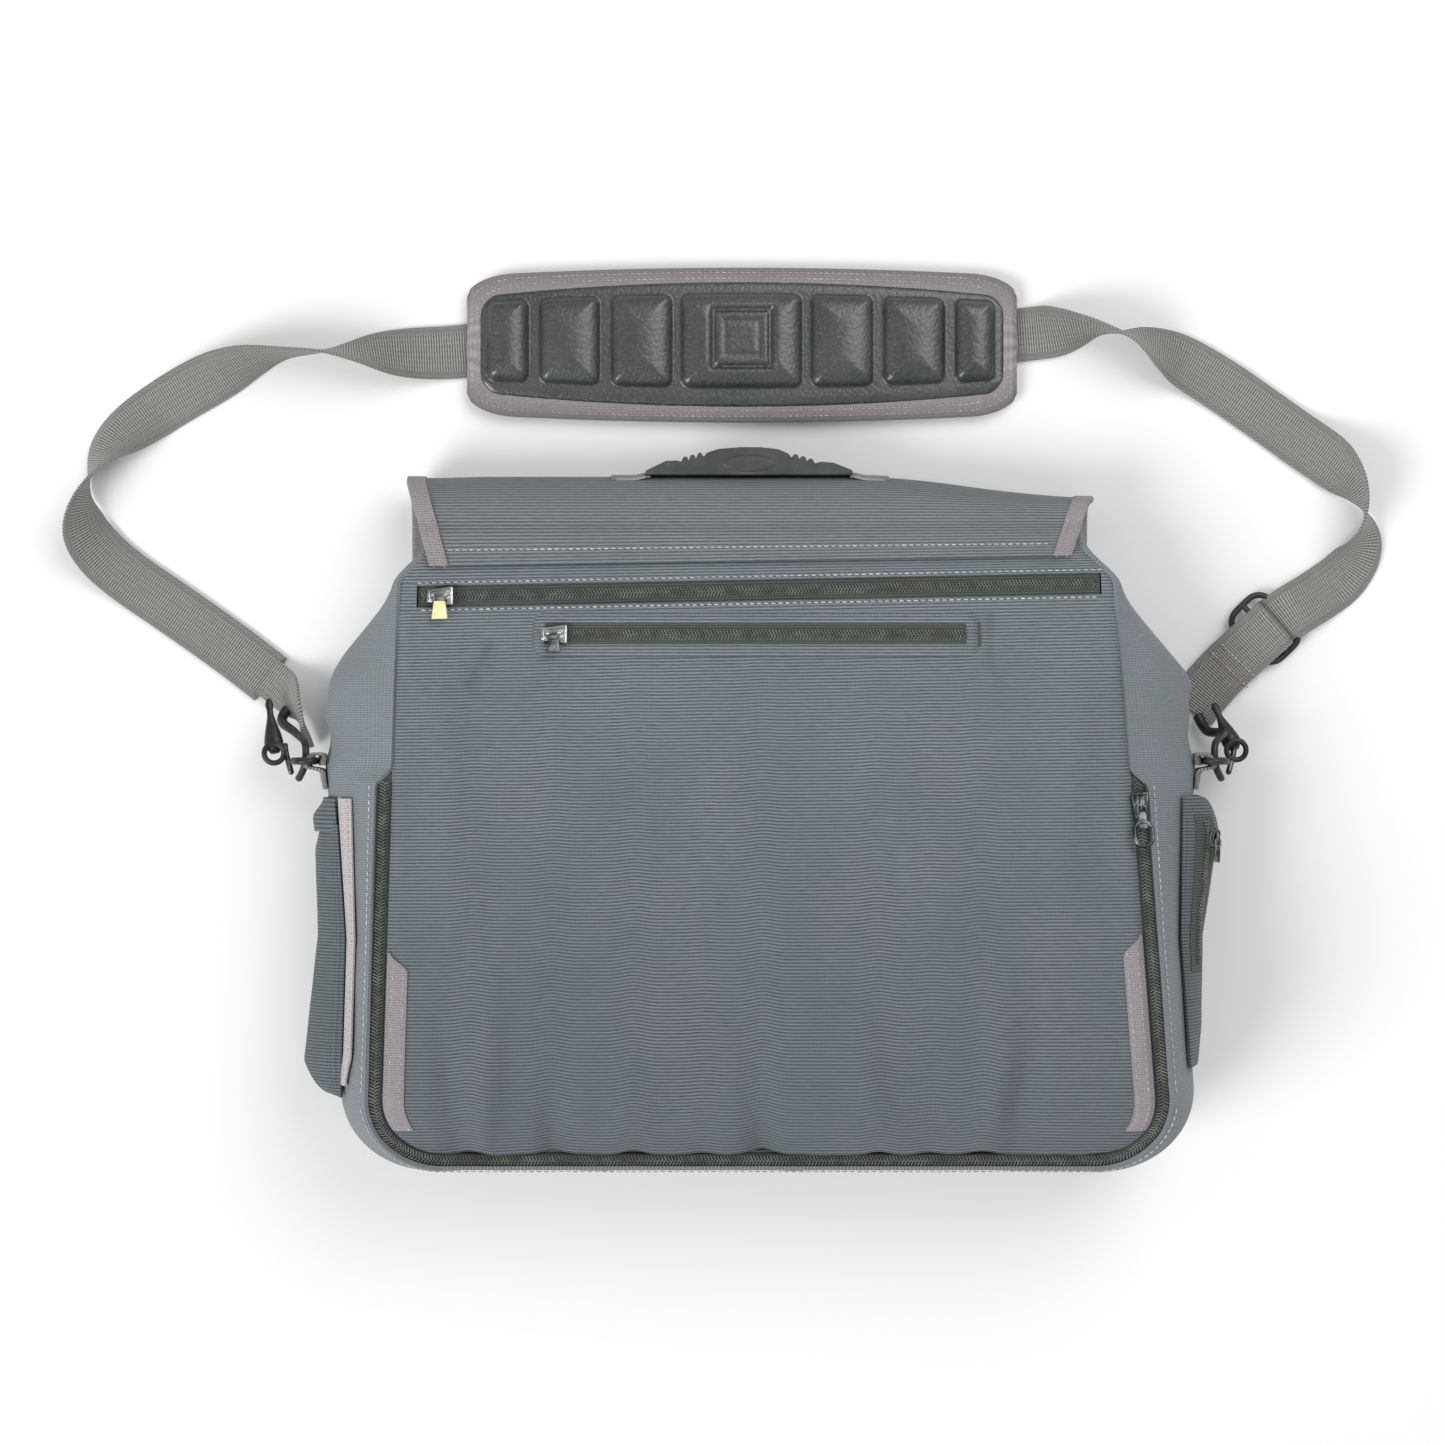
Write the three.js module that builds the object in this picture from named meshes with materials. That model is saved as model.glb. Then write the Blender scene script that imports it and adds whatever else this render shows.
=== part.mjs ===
// A laptop messenger bag lying on its front, with its shoulder strap laid out beyond its top edge.
// Millimetres. +Z points up out of the bag's back, +Y towards the bag's top, +X to its right.
// The origin is on the resting face, under the outer face of the closed flap.
import * as THREE from "three";

// Body
const bottomY = -146.5;
const mouthY = 143;
const backHeightLow = 95;
const backHeightMouth = 44;
const lowEndY = -118;
const bottomRollDrop = 16;
const halfWidthTop = 165.5;
const halfWidthBottom = 174.5;
const shiftTop = -4.7;
const shiftBottom = 1.3;
const cornerRadius = 26;
const sideBulge = 32;
const bottomBulge = 4;
const fabric = 2;
const clearance = 0.4;
const frontPanelHeight = 9.2;

// Flap
const flapThickness = 3;
const flapLowY = -125;
const flapHemY = 124;
const flapHemSkew = 5;
const flapHalfCrown = 161;
const flapHalfHem = 148;
const flapShift = -7;
const bindingWidth = 8;
const bindingThickness = 1.2;

// Zips
const windowHeight = 9.6;
const tapeThickness = 0.8;
const coilWidth = 5;
const coilHeight = 1.5;
const upperZipStart = -158;
const upperZipEnd = 152;
const upperZipY = 107.2;
const upperZipRise = 6.2;
const lowerZipStart = -104;
const lowerZipEnd = 96;
const lowerZipY = 89.5;
const laptopZipTopY = 21;
const sliderLength = 12;
const sliderWidth = 9;
const sliderHeight = 2.6;
const sliderGap = 0.8;
const pullLength = 10;
const laptopPullLength = 20;
const pullWidth = 7.6;
const pullThickness = 1.4;

// Side pockets
const pocketTopY = 2;
const pocketLowY = -122;
const leftPocketDepth = [5.6, 14];
const rightPocketTopY = 15;
const rightPocketLowY = -108;
const rightPocketDepth = [12, 1.5];
const patchGap = 1.4;
const lidLength = 12;
const lidGap = 3.4;
const pocketFabric = 1.6;

// Handle
const handleCentreX = -7;
const handleHalf = 49;
const handleRise = 10.6;
const handleWidth = 24;
const handleTabLength = 16;

// Strap
const webbing = 25.4;
const webbingThickness = 1.6;
const ringWire = 1.6;
const hookWire = 2;
const hookOffset = 1.9;
const padCentre = [-10.7, 229.5];
const padLength = 263;
const padWidth = 74;
const padEndWidth = 46;
const padThickness = 5;
const pillowHeight = 7;

const up = new THREE.Vector3(0, 0, 1);
const group = new THREE.Group();

const looks = {
  canvas: ["#747c80", 0.9, 0],
  gusset: ["#7d8489", 0.9, 0],
  lining: ["#4a4e52", 0.9, 0],
  binding: ["#938f93", 0.85, 0],
  tape: ["#4f5451", 0.9, 0],
  coil: ["#3b3e3e", 0.6, 0],
  metal: ["#5c5f62", 0.35, 0.9],
  yellow: ["#e7dea0", 0.6, 0],
  webbing: ["#8c8b88", 0.9, 0],
  padFace: ["#56575a", 0.8, 0],
  rubber: ["#505354", 0.7, 0],
  plastic: ["#2c2d2f", 0.45, 0],
};

function addMesh(name, geometry, look) {
  const [color, roughness, metalness] = looks[look];
  const material = new THREE.MeshStandardMaterial({ color, roughness, metalness });
  const mesh = new THREE.Mesh(geometry, material);
  mesh.name = name;
  group.add(mesh);
  return mesh;
}

function clamp01(t) {
  return Math.min(1, Math.max(0, t));
}

function smooth(t) {
  const s = clamp01(t);
  return s * s * (3 - 2 * s);
}

function mix(a, b, t) {
  return a + (b - a) * t;
}

// Turns a triangle list so that its faces point out.
function solidFrom(points, triangles) {
  const volume = triangles.reduce((sum, [a, b, c]) => {
    const cross = new THREE.Vector3().crossVectors(points[b], points[c]);
    return sum + points[a].dot(cross);
  }, 0);
  const order = volume < 0 ? [0, 2, 1] : [0, 1, 2];
  const geometry = new THREE.BufferGeometry();
  geometry.setFromPoints(points);
  geometry.setIndex(triangles.flatMap((t) => order.map((i) => t[i])));
  return geometry;
}

// Joins rings of points into a closed skin. Without closed, flat caps end it.
function skinRings(rings, closed) {
  const sides = rings[0].length;
  const points = rings.flat();
  const triangles = [];
  const spans = closed ? rings.length : rings.length - 1;
  for (let j = 0; j < spans; j += 1) {
    for (let i = 0; i < sides; i += 1) {
      const a = j * sides + i;
      const b = j * sides + ((i + 1) % sides);
      const c = ((j + 1) % rings.length) * sides + i;
      const d = ((j + 1) % rings.length) * sides + ((i + 1) % sides);
      triangles.push([a, b, d], [a, d, c]);
    }
  }
  if (!closed) {
    const last = (rings.length - 1) * sides;
    for (let i = 1; i < sides - 1; i += 1) {
      triangles.push([0, i + 1, i], [last, last + i, last + i + 1]);
    }
  }
  return solidFrom(points, triangles);
}

function normalAt(pointAt, a, b) {
  const step = 1e-3;
  const a0 = Math.max(0, a - step);
  const a1 = Math.min(1, a + step);
  const b0 = Math.max(0, b - step);
  const b1 = Math.min(1, b + step);
  const alongA = pointAt(a1, b).sub(pointAt(a0, b));
  const alongB = pointAt(a, b1).sub(pointAt(a, b0));
  return alongA.cross(alongB).normalize();
}

// A fabric sheet: its outer face is pointAt(a, b), and its thickness goes against the normal.
function sheet(pointAt, thickness, across, along, spread = (b) => b) {
  const rows = [];
  for (let j = 0; j <= along; j += 1) {
    const b = spread(j / along);
    const outer = [];
    const inner = [];
    for (let i = 0; i <= across; i += 1) {
      const a = i / across;
      const point = pointAt(a, b);
      const normal = normalAt(pointAt, a, b);
      outer.push(point);
      inner.unshift(point.clone().addScaledVector(normal, -thickness));
    }
    rows.push([...outer, ...inner]);
  }
  return skinSheet(rows, across);
}

// Skins the rows of a sheet, with quads rather than a fan across its two end rims.
function skinSheet(rows, across) {
  const sides = rows[0].length;
  const triangles = [];
  for (let j = 0; j < rows.length - 1; j += 1) {
    for (let i = 0; i < sides; i += 1) {
      const next = (i + 1) % sides;
      const [a, b] = [j * sides + i, j * sides + next];
      triangles.push([a, b, b + sides], [a, b + sides, a + sides]);
    }
  }
  for (const [row, flip] of [[0, true], [rows.length - 1, false]]) {
    for (let i = 0; i < across; i += 1) {
      const a = row * sides + i;
      const d = row * sides + sides - 1 - i;
      const quads = [[a, a + 1, d - 1], [a, d - 1, d]];
      triangles.push(...quads.map(([p, q, r]) => (flip ? [p, r, q] : [p, q, r])));
    }
  }
  return solidFrom(rows.flat(), triangles);
}

// Height of the back panel's outer face. It slopes down to the mouth and rolls under at the low end.
function backHeight(y) {
  const slope = (backHeightLow - backHeightMouth) / (mouthY - lowEndY);
  const roll = Math.max(0, lowEndY - y) / (lowEndY - bottomY);
  const straight = backHeightLow - slope * (Math.max(y, lowEndY) - lowEndY);
  return straight - bottomRollDrop * roll * roll;
}

const backSlope = Math.atan((backHeightLow - backHeightMouth) / (mouthY - lowEndY));

// x of the body's edge on one side, -1 left or 1 right, before its bottom corner.
function edgeX(side, y) {
  const t = (mouthY - y) / (mouthY - bottomY);
  return mix(shiftTop, shiftBottom, t) + side * mix(halfWidthTop, halfWidthBottom, t);
}

const cornerY = bottomY + cornerRadius;

// x of a panel's edge with its rounded bottom corner.
function panelEdgeX(side, y) {
  const down = Math.min(cornerRadius, Math.max(0, cornerY - y));
  const inset = cornerRadius - Math.sqrt(cornerRadius ** 2 - down ** 2);
  return edgeX(side, y) - side * inset;
}

// Groups rows near the bottom edge, so that the corner arc is followed.
function towardsBottom(b) {
  return 1 - (1 - b) ** 1.7;
}

function panel(topAt, bottom, heightAt, inset, thickness, across, along) {
  const pointAt = (a, b) => {
    const share = 1 - b;
    const guess = mix(bottom, topAt(0), share);
    const left = panelEdgeX(-1, guess) + inset;
    const right = panelEdgeX(1, guess) - inset;
    const x = mix(left, right, a);
    const y = mix(bottom, topAt(x), share);
    return new THREE.Vector3(x, y, heightAt(y));
  };
  return sheet(pointAt, -thickness, across, along, towardsBottom);
}

// Room between the back panel's edge and the gusset, where the laptop zip runs.
const zipGroove = 7.4;
function grooveAt(y) {
  return mix(zipGroove, fabric + 0.6, smooth((y - laptopZipTopY - 4) / 20));
}

function bulgeAt(y) {
  const rise = smooth((122 - y) / 60);
  const fall = mix(1, 0.5, clamp01((60 - y) / 110));
  return sideBulge * rise * fall;
}

// A point on a side gusset's outer face: u runs from the back edge to the front edge.
function gussetPoint(side, y, u, lift = 0) {
  const top = backHeight(y) - clearance;
  const out = grooveAt(y) + bulgeAt(y) * Math.sin(Math.PI * u) + lift;
  return new THREE.Vector3(edgeX(side, y) + side * out, y, mix(top, 0, u));
}

function gusset(side) {
  const top = mouthY - 1;
  const pointAt = (a, b) => gussetPoint(side, mix(top, cornerY + clearance, b), a);
  return sheet(pointAt, -side * fabric, 8, 10);
}

// A patch that follows a gusset, lifted off it.
function gussetPatch(side, yTop, yLow, uTop, uLow, liftAt, thickness, across, along) {
  const pointAt = (a, b) => {
    const y = mix(yTop, yLow, b);
    return gussetPoint(side, y, mix(uTop, uLow, a), liftAt(a, b));
  };
  return sheet(pointAt, -side * thickness, across, along);
}

// Plan of the bottom edge, from the left side round both corners to the right side.
function bottomEdge(t, out) {
  const arcShare = 0.22;
  const turn = cornerRadius + out;
  if (t < arcShare) {
    const angle = Math.PI * (1 + (0.5 * t) / arcShare);
    const x = edgeX(-1, cornerY) + cornerRadius;
    return [x + turn * Math.cos(angle), cornerY + turn * Math.sin(angle)];
  }
  if (t > 1 - arcShare) {
    const angle = -Math.PI * 0.5 * (1 - (t - 1 + arcShare) / arcShare);
    const x = edgeX(1, cornerY) - cornerRadius;
    return [x + turn * Math.cos(angle), cornerY + turn * Math.sin(angle)];
  }
  const x = mix(
    edgeX(-1, cornerY) + cornerRadius,
    edgeX(1, cornerY) - cornerRadius,
    (t - arcShare) / (1 - 2 * arcShare),
  );
  return [x, bottomY - out];
}

function bottomGusset() {
  const pointAt = (a, b) => {
    const nearSide = smooth(Math.abs(a - 0.5) * 4 - 1);
    const bulge = mix(bottomBulge, bulgeAt(cornerY), nearSide) * Math.sin(Math.PI * b);
    const [x, y] = bottomEdge(a, zipGroove + bulge);
    const top = backHeight(Math.max(bottomY, y + zipGroove)) - clearance;
    return new THREE.Vector3(x, y, mix(top, 0, b));
  };
  return sheet(pointAt, -fabric, 22, 7);
}

// The zip that runs round the back panel's sides and bottom, in the groove beside its edge.
function laptopZip() {
  const sideSteps = 6;
  const bottomSteps = 20;
  const centre = zipGroove / 2 - fabric / 2 + 0.2;
  const plan = [];
  for (let i = 0; i < sideSteps; i += 1) {
    const y = mix(laptopZipTopY, cornerY, i / sideSteps);
    plan.push([edgeX(-1, y) - centre, y]);
  }
  for (let i = 0; i <= bottomSteps; i += 1) {
    plan.push(bottomEdge(i / bottomSteps, centre));
  }
  for (let i = sideSteps - 1; i >= 0; i -= 1) {
    const y = mix(laptopZipTopY, cornerY, i / sideSteps);
    plan.push([edgeX(1, y) + centre, y]);
  }
  const route = plan.map(([x, y]) => new THREE.Vector3(x, y, backHeight(Math.max(y, bottomY)) - 2.6));
  return ribbon(route, route.map(() => 0), 3.6, coilHeight);
}

// A flat band along a route. Its roll, in degrees, stands it on edge at 90.
function ribbon(route, rolls, width, thickness) {
  const rings = route.map((point, i) => {
    const ahead = route[Math.min(i + 1, route.length - 1)];
    const behind = route[Math.max(i - 1, 0)];
    const along = ahead.clone().sub(behind).normalize();
    const flat = new THREE.Vector3().crossVectors(up, along).normalize();
    const roll = THREE.MathUtils.degToRad(rolls[i]);
    const wide = flat.clone().applyAxisAngle(along, roll).multiplyScalar(width / 2);
    const thick = new THREE.Vector3().crossVectors(along, wide).setLength(thickness / 2);
    return [[1, 1], [0, 1], [-1, 1], [-1, -1], [0, -1], [1, -1]].map(([w, t]) =>
      point.clone().addScaledVector(wide, w).addScaledVector(thick, t),
    );
  });
  return skinRings(rings, false);
}

function bar(points, radius, steps, sides) {
  const path = new THREE.CatmullRomCurve3(points.map((p) => new THREE.Vector3(...p)));
  const shape = new THREE.Shape().absarc(0, 0, radius, 0, Math.PI * 2);
  const settings = { steps, extrudePath: path, curveSegments: sides };
  return new THREE.ExtrudeGeometry(shape, settings);
}

// A closed wire loop in the plane of x and z, with one straight side nearest the bag.
function dRing(side, centre) {
  const high = 11;
  const deep = 7;
  const rings = [];
  const steps = 20;
  for (let i = 0; i < steps; i += 1) {
    const angle = (i / steps) * Math.PI * 2;
    const reach = Math.max(-0.45, Math.cos(angle));
    const spot = new THREE.Vector3(side * deep * reach, 0, high * Math.sin(angle));
    const outward = new THREE.Vector3(side * Math.cos(angle), 0, Math.sin(angle));
    const ring = [];
    for (let k = 0; k < 6; k += 1) {
      const turn = (k / 6) * Math.PI * 2;
      const offset = outward.clone().multiplyScalar(Math.cos(turn) * ringWire);
      offset.y = Math.sin(turn) * ringWire;
      ring.push(spot.clone().add(offset).add(new THREE.Vector3(...centre)));
    }
    rings.push(ring);
  }
  return skinRings(rings, true);
}

function roundedShape(width, height, radius) {
  const [w, h] = [width / 2, height / 2];
  const shape = new THREE.Shape();
  shape.absarc(w - radius, h - radius, radius, 0, Math.PI / 2);
  shape.absarc(radius - w, h - radius, radius, Math.PI / 2, Math.PI);
  shape.absarc(radius - w, radius - h, radius, Math.PI, Math.PI * 1.5);
  shape.absarc(w - radius, radius - h, radius, Math.PI * 1.5, Math.PI * 2);
  shape.closePath();
  return shape;
}

function plate(shape, depth, curveSegments = 3) {
  return new THREE.ExtrudeGeometry(shape, { depth, bevelEnabled: false, curveSegments });
}

// Body panels
const zipTilt = upperZipRise / (upperZipEnd - upperZipStart);
const upperZipAt = (x) => upperZipY + (x - upperZipStart) * zipTilt;
const belowUpperZip = (x) => upperZipAt(x) - windowHeight / 2;
const aboveUpperZip = (x) => upperZipAt(x) + windowHeight / 2;

addMesh("back_panel", panel(belowUpperZip, bottomY, backHeight, 0, fabric, 8, 12), "canvas");

function strip(lowAt, highAt, heightAt, leftAt, rightAt, thickness, across, along) {
  const pointAt = (a, b) => {
    const x0 = mix(leftAt(0), rightAt(0), a);
    const y = mix(lowAt(x0), highAt(x0), b);
    const x = mix(leftAt(y), rightAt(y), a);
    return new THREE.Vector3(x, y, heightAt(y));
  };
  return sheet(pointAt, thickness, across, along);
}

const leftEdge = (y) => edgeX(-1, y);
const rightEdge = (y) => edgeX(1, y);
const flatAt = (height) => () => height;
addMesh(
  "back_yoke",
  strip(aboveUpperZip, flatAt(mouthY - 7), backHeight, leftEdge, rightEdge, fabric, 8, 3),
  "canvas",
);
const frontPanel = panel(flatAt(mouthY - 6), bottomY, flatAt(frontPanelHeight), 0, fabric, 6, 10);
addMesh("front_panel", frontPanel, "canvas");
addMesh("left_gusset", gusset(-1), "gusset");
addMesh("right_gusset", gusset(1), "gusset");
addMesh("bottom_gusset", bottomGusset(), "gusset");
const dividerHeight = (y) => mix(frontPanelHeight, backHeight(y), 0.6);
const dividerTop = 104;
const lowInside = bottomY + 8;
const dividerThickness = 5;
addMesh(
  "laptop_divider",
  panel(flatAt(dividerTop), lowInside, dividerHeight, 4, dividerThickness, 4, 8),
  "lining",
);
const liningHeight = (y) => backHeight(y) - 9;
addMesh(
  "back_pocket_lining",
  panel(flatAt(dividerTop - 6), lowInside, liningHeight, 4, 1, 4, 8),
  "lining",
);

// Zips on the back panel
function zipTape(start, end, centreAt, sink) {
  const low = (x) => centreAt(x) - windowHeight / 2 - 2;
  const high = (x) => centreAt(x) + windowHeight / 2 + 2;
  const height = (y) => backHeight(y) - sink;
  return strip(low, high, height, flatAt(start - 3), flatAt(end + 3), tapeThickness, 4, 2);
}

function zipCoil(start, end, centreAt, raise) {
  const route = [start, end].map(
    (x) => new THREE.Vector3(x, centreAt(x), backHeight(centreAt(x)) + raise),
  );
  const tilt = [-THREE.MathUtils.radToDeg(backSlope), -THREE.MathUtils.radToDeg(backSlope)];
  return ribbon(route, tilt, coilWidth, coilHeight);
}

const upperSink = fabric + clearance;
const coilDrop = upperSink - clearance - coilHeight / 2;
addMesh("upper_zip_tape", zipTape(upperZipStart, upperZipEnd, upperZipAt, upperSink), "tape");
addMesh("upper_zip_coil", zipCoil(upperZipStart, upperZipEnd, upperZipAt, -coilDrop), "coil");
const lowerZipAt = flatAt(lowerZipY);
const lowerLift = tapeThickness + clearance;
const lowerCoilLift = lowerLift + clearance + coilHeight / 2;
const lowerTape = zipTape(lowerZipStart, lowerZipEnd, lowerZipAt, -lowerLift);
addMesh("lower_zip_tape", lowerTape, "tape");
addMesh("lower_zip_coil", zipCoil(lowerZipStart, lowerZipEnd, lowerZipAt, lowerCoilLift), "coil");
addMesh("laptop_zip_coil", laptopZip(), "coil");

// A slider with its pull. length runs along the zip, and the pull hangs towards -y at rest.
function slider(name, place, turn, tilt, pullLook, pullSize = pullLength) {
  const holder = new THREE.Group();
  holder.position.set(...place);
  holder.rotation.set(tilt[0], tilt[1], turn, "ZXY");
  const block = roundedShape(sliderLength, sliderWidth, 3);
  const body = addMesh(`${name}_slider`, plate(block, sliderHeight), "metal");
  const shape = roundedShape(pullWidth, pullSize, 2.4);
  const pull = addMesh(`${name}_pull`, plate(shape, pullThickness), pullLook);
  pull.position.set(0, -pullSize / 2 - 2, sliderHeight + clearance);
  holder.add(body, pull);
  group.add(holder);
}

const upperSliderX = -150.5;
const upperSliderY = upperZipAt(upperSliderX);
const upperSliderZ = backHeight(upperSliderY) - coilDrop + coilHeight / 2 + sliderGap;
slider(
  "upper_zip",
  [upperSliderX, upperSliderY, upperSliderZ],
  Math.atan(zipTilt),
  [-backSlope, 0],
  "yellow",
);
const lowerSliderX = -97.5;
const lowerSliderZ = backHeight(lowerZipY) + lowerCoilLift + coilHeight / 2 + sliderGap;
slider("lower_zip", [lowerSliderX, lowerZipY, lowerSliderZ], 0, [-backSlope, 0], "metal", 9);

// The laptop zip slider lies along the right side, so it turns with its edge.
const sideTurn = Math.atan2(
  edgeX(1, cornerY) - edgeX(1, laptopZipTopY),
  laptopZipTopY - cornerY,
);
const laptopCentre = zipGroove / 2 - fabric / 2 + 0.2;
const laptopSliderY = 11;
const laptopSliderX = edgeX(1, laptopSliderY) + laptopCentre;
const laptopHolder = new THREE.Group();
laptopHolder.position.set(laptopSliderX, laptopSliderY, backHeight(laptopSliderY) + clearance);
laptopHolder.rotation.set(-backSlope, 0, sideTurn, "ZXY");
const laptopSliderShape = roundedShape(sliderWidth, sliderLength, 3);
const laptopSlider = addMesh("laptop_zip_slider", plate(laptopSliderShape, sliderHeight), "metal");
const laptopPullShape = roundedShape(sliderWidth, laptopPullLength, 3.6);
const laptopPull = addMesh("laptop_zip_pull", plate(laptopPullShape, pullThickness), "metal");
laptopPull.position.set(0, -laptopPullLength / 2 - 3, sliderHeight + clearance);
laptopHolder.add(laptopSlider, laptopPull);
group.add(laptopHolder);

// Folded-end bindings sewn on the back panel's lower sides
function cornerBinding(side, yTop) {
  const width = 9;
  const pointAt = (a, b) => {
    const y = mix(yTop, cornerY - 5, b);
    const outer = panelEdgeX(side, y) - side * 2.4;
    const x = outer - side * width * mix(1, smooth(b * 12), 0.75) * a;
    return new THREE.Vector3(x, y, backHeight(y) + 0.9 + bindingThickness);
  };
  return sheet(pointAt, side * bindingThickness, 2, 7);
}
addMesh("left_corner_binding", cornerBinding(-1, -55), "binding");
addMesh("right_corner_binding", cornerBinding(1, -47), "binding");

// Flap. Its strip is sewn to the back, and the crown and front panel swing about the mouth's back edge.
const crownRadius = backHeightMouth / 2;
const hemAt = (x) => flapHemY + (flapHemSkew * x) / (2 * flapHalfHem);
const stripLift = 2.6;
const stripThickness = 1.6;
const yokeTopY = mouthY - 7;
const stripHeight = (y) => mix(backHeight(y) + stripLift, backHeightMouth, smooth((y - yokeTopY) / 6));
function flapEdge(side, inset = 0) {
  return (y) => {
    const t = smooth((y - flapHemY) / (mouthY - flapHemY));
    return flapShift + side * (mix(flapHalfHem, flapHalfCrown, t) - inset);
  };
}
addMesh(
  "flap_back_strip",
  strip(hemAt, flatAt(mouthY - 0.6), stripHeight, flapEdge(-1), flapEdge(1), stripThickness, 8, 4),
  "canvas",
);

function stripBinding(side) {
  const inner = flapEdge(side, bindingWidth);
  const outer = flapEdge(side);
  const [left, right] = side < 0 ? [outer, inner] : [inner, outer];
  const height = (y) => stripHeight(y) + clearance + bindingThickness;
  const low = (x) => hemAt(x) + 1;
  return strip(low, flatAt(mouthY - 1), height, left, right, bindingThickness, 1, 4);
}
addMesh("strip_left_binding", stripBinding(-1), "binding");
addMesh("strip_right_binding", stripBinding(1), "binding");

// The flap's outer face in its own run s, from the hinge over the crown and down the front.
const crownRun = Math.PI * crownRadius;
const flapRun = crownRun + mouthY - flapLowY;
function flapFace(s, lift) {
  const reach = crownRadius + lift;
  if (s > crownRun) return [mouthY - (s - crownRun), -lift];
  const angle = Math.PI / 2 - s / crownRadius;
  return [mouthY + reach * Math.cos(angle), crownRadius + reach * Math.sin(angle)];
}

function flapBand(left, right, runFrom, runTo, lift, thickness, across, along) {
  const pointAt = (a, b) => {
    const [y, z] = flapFace(mix(runFrom, runTo, b), lift);
    return new THREE.Vector3(mix(left, right, a), y, z);
  };
  const curved = clamp01((crownRun - runFrom) / (runTo - runFrom));
  const spread = (b) => (b < 0.6 ? (b / 0.6) * curved : mix(curved, 1, (b - 0.6) / 0.4));
  return sheet(pointAt, thickness, across, along, curved > 0 ? spread : undefined);
}

const [flapLeft, flapRight] = [flapShift - flapHalfCrown, flapShift + flapHalfCrown];
const hingeGap = 0.8;
const flapRows = 20;
addMesh(
  "flap_panel",
  flapBand(
    flapLeft + bindingThickness + clearance,
    flapRight - bindingThickness - clearance,
    hingeGap,
    flapRun,
    0,
    flapThickness,
    4,
    flapRows,
  ),
  "canvas",
);
for (const [name, x] of [
  ["flap_left_binding", flapLeft],
  ["flap_right_binding", flapRight - bindingThickness],
]) {
  const band = flapBand(x, x + bindingThickness, hingeGap, flapRun, 0, flapThickness, 1, flapRows);
  addMesh(name, band, "binding");
}

// Hook tapes inside the flap and loop tapes on the front panel hold it closed.
const tapeSize = [50, 90];
const tapeGap = 0.3;
for (const [name, x] of [["left", -85], ["right", 75]]) {
  const hook = plate(roundedShape(...tapeSize, 4), 1.1);
  hook.translate(x, -70, flapThickness + tapeGap);
  addMesh(`flap_${name}_hook_tape`, hook, "tape");
  const loop = plate(roundedShape(...tapeSize, 4), 1.1);
  loop.translate(x, -70, frontPanelHeight - fabric - tapeGap - 1.1);
  addMesh(`front_${name}_loop_tape`, loop, "tape");
}

// Carry handle: a moulded grip that arches over the crown, between two webbing tabs.
function handleProfile(top, base, half) {
  const shape = new THREE.Shape();
  shape.moveTo(-half, base);
  shape.lineTo(-half, base + 3);
  shape.quadraticCurveTo(-half * 0.72, base + top * 0.55, -half * 0.55, base + top * 0.86);
  shape.lineTo(-half * 0.34, base + top);
  shape.lineTo(half * 0.34, base + top);
  shape.lineTo(half * 0.55, base + top * 0.86);
  shape.quadraticCurveTo(half * 0.72, base + top * 0.55, half, base + 3);
  shape.lineTo(half, base);
  shape.quadraticCurveTo(0, base + 4, -half, base);
  return shape;
}
const crownTop = mouthY + crownRadius;
const handleBase = crownTop + 1.9;
const grip = plate(handleProfile(handleRise, 0, handleHalf), handleWidth, 6);
grip.translate(handleCentreX, handleBase, crownRadius - handleWidth / 2);
addMesh("handle_grip", grip, "rubber");
const insetShape = new THREE.Shape();
insetShape.absellipse(handleCentreX, handleBase + 6.2, 25, 2.6, 0, Math.PI * 2);
const inset = plate(insetShape, 0.8, 16);
inset.translate(0, 0, crownRadius + handleWidth / 2 + clearance);
addMesh("handle_inset", inset, "plastic");
for (const [name, side] of [["handle_left_tab", -1], ["handle_right_tab", 1]]) {
  const centre = handleCentreX + side * (handleHalf + handleTabLength / 2 + clearance);
  const tab = new THREE.BoxGeometry(handleTabLength, webbingThickness, handleWidth - 3);
  tab.translate(centre, crownTop + clearance + webbingThickness / 2, crownRadius);
  addMesh(name, tab, "webbing");
}

// Side pockets
function leftPocketLift(a, b) {
  const sides = clamp01(Math.min(a, 1 - a) * 6);
  const floor = clamp01((1 - b) * 9);
  return patchGap + pocketFabric + mix(...leftPocketDepth, b) * sides * floor;
}
addMesh(
  "left_pocket",
  gussetPatch(-1, pocketTopY, pocketLowY, 0.24, 0.88, leftPocketLift, pocketFabric, 10, 9),
  "canvas",
);
const leftBinding = gussetPatch(
  -1,
  pocketTopY + lidLength,
  pocketLowY + 8,
  0.13,
  0.22,
  () => patchGap + bindingThickness,
  bindingThickness,
  1,
  8,
);
addMesh("left_pocket_binding", leftBinding, "binding");
const lidLift = (a, b) => {
  const sides = clamp01(Math.min(a, 1 - a) * 6);
  return patchGap + pocketFabric + leftPocketDepth[0] * sides * smooth(b * 3);
};
addMesh(
  "left_pocket_lid",
  gussetPatch(-1, pocketTopY + lidLength, pocketTopY + lidGap, 0.26, 0.86, lidLift, pocketFabric, 8, 4),
  "canvas",
);

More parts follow.
